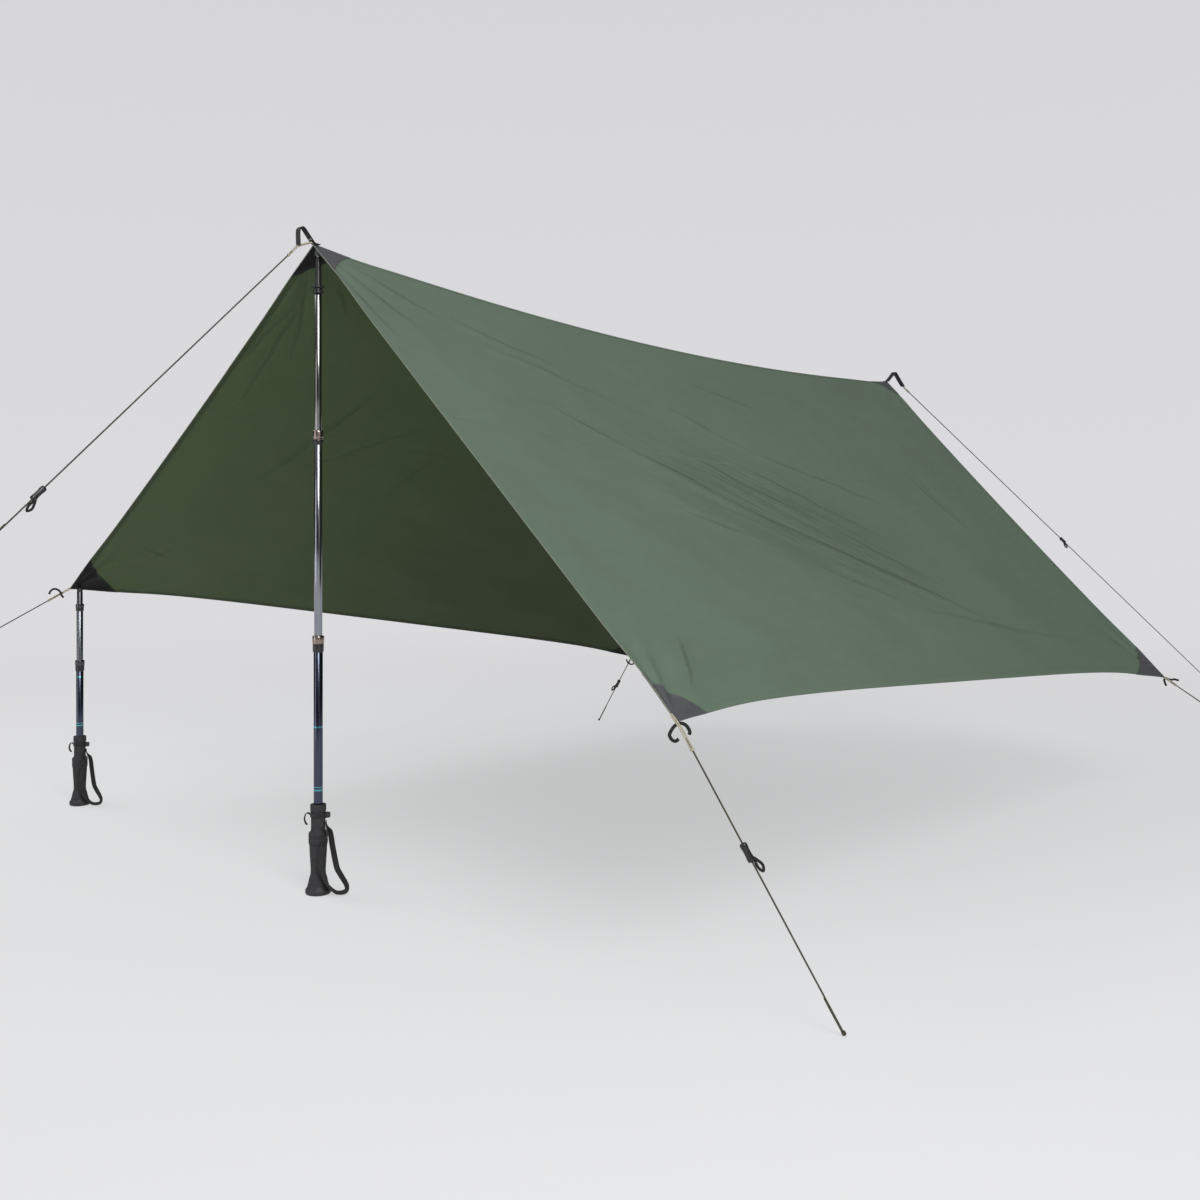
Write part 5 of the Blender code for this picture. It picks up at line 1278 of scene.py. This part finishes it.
# Floor and light: a pale seamless floor under a soft white sky, with a broad lamp high on each side, an
# upright softbox on each side of the camera and a fill lamp beside it. Polished pieces mirror a sky that is
# dark low down.
BACKDROP = (0.712, 0.704, 0.722)
FLOOR = (0.780, 0.780, 0.790)
FLOOR_SEEN = (0.785, 0.790, 0.800)
FLOOR_GLOW = 0.66
# How far from the middle the floor starts and ends its fade into the backdrop
FLOOR_FADE = (1.6, 5.5)
SKY_STRENGTH = 0.42
HORIZON_SHARE = 0.30
DIMMED_OVERHEAD = 0.14
MIRRORED_HORIZON = 0.06
MIRRORED_OVERHEAD = 0.6
# How high up the mirrored sky starts and ends to brighten
MIRRORED_RISE = (0.15, 0.75)


def glow(tree, colour):
    """Plain light of a colour."""
    return add_node(tree, "Emission", {"Color": (*colour, 1.0)}).outputs[0]


def mixed(tree, share, first, second):
    """A shader that turns from the first into the second as the share goes from 0 to 1."""
    return add_node(tree, "MixShader", {0: share, 1: first, 2: second}).outputs[0]


def light_path(tree):
    """The kinds of ray, and a mask of those that are seen: from the camera, mirrored or let through."""
    rays = add_node(tree, "LightPath").outputs
    looked = maths(tree, "MAXIMUM", rays["Is Camera Ray"], rays["Is Glossy Ray"])
    return rays, maths(tree, "MAXIMUM", looked, rays["Is Transmission Ray"])


bpy.ops.object.select_all(action="DESELECT")
bpy.ops.mesh.primitive_circle_add(vertices=96, radius=60.0, fill_type="NGON", location=(0.0, 1.0, -0.0006))
floor = active_mesh_object("floor")
floor_paint, tree, shader = shader_of("floor_paint", FLOOR, 0.9, specular=0.1)
_, looked = light_path(tree)
near = mixed(tree, maths(tree, "MULTIPLY", looked, FLOOR_GLOW), shader.outputs[0], glow(tree, FLOOR_SEEN))
far = smoothed(tree, length_of(tree, read_from(tree, "Object")[0]), *FLOOR_FADE)
fading = mixed(tree, far, near, glow(tree, BACKDROP))
tree.links.new(fading, tree.nodes["Material Output"].inputs["Surface"])
floor.data.materials.append(floor_paint)

world = bpy.data.worlds.new("studio_sky")
bpy.context.scene.world = world
world.use_nodes = True
tree = world.node_tree
rise = read_from(tree, "Generated")[3]
height = maths(tree, "MAXIMUM", rise, 0.0)
sky = tree.nodes["Background"]
sky.inputs["Color"].default_value = (1.0, 1.0, 1.0, 1.0)
tree.links.new(maths(tree, "MULTIPLY_ADD", height, SKY_STRENGTH * (1.0 - HORIZON_SHARE),
                     SKY_STRENGTH * HORIZON_SHARE), sky.inputs["Strength"])
# What the camera and the polished pieces see: the backdrop, a little dimmer above, and dark low in mirrors
rays, looked = light_path(tree)
overhead = smoothed(tree, rise, *MIRRORED_RISE, MIRRORED_HORIZON, MIRRORED_OVERHEAD)
mirrored = maths(tree, "MULTIPLY_ADD", maths(tree, "SUBTRACT", overhead, 1.0), rays["Is Glossy Ray"], 1.0)
dimmed_above = maths(tree, "MULTIPLY_ADD", height, -DIMMED_OVERHEAD, 1.0)
seen = add_node(tree, "Background", {"Color": (*BACKDROP, 1.0),
                                     "Strength": maths(tree, "MULTIPLY", dimmed_above, mirrored)})
either = mixed(tree, looked, sky.outputs[0], seen.outputs[0])
tree.links.new(either, tree.nodes["World Output"].inputs["Surface"])

# Each lamp's place, the point that it faces, its width and height, and its power
LAMPS = {
    "right_overhead_lamp": ((3.70, -1.60, 3.30), (0.0, 1.0, 0.5), (2.4, 2.4), 165.0),
    "left_overhead_lamp": ((-3.20, -1.10, 3.90), (0.0, 1.0, 0.5), (2.4, 2.4), 70.0),
    "left_softbox": ((-1.20, -4.30, 1.20), (0.0, 0.0, 0.9), (1.3, 2.4), 26.0),
    "right_softbox": ((4.40, -0.30, 1.20), (0.0, 0.0, 0.9), (0.8, 2.2), 4.0),
    "front_fill": ((2.80, -4.20, 1.10), (-0.6, 0.4, 0.8), (1.6, 1.6), 20.0),
}
for lamp_name, (place, target, (width, height), power) in LAMPS.items():
    bpy.ops.object.light_add(type="AREA", location=place)
    lamp = bpy.context.object
    lamp.name = lamp_name
    lamp.data.shape = "RECTANGLE"
    lamp.data.size = width
    lamp.data.size_y = height
    lamp.data.energy = power
    lamp.visible_camera = False
    lamp.visible_glossy = lamp_name != "front_fill"
    lamp.rotation_euler = (Vector(target) - lamp.location).to_track_quat("-Z", "Y").to_euler()
bpy.context.scene.view_settings.view_transform = "Standard"
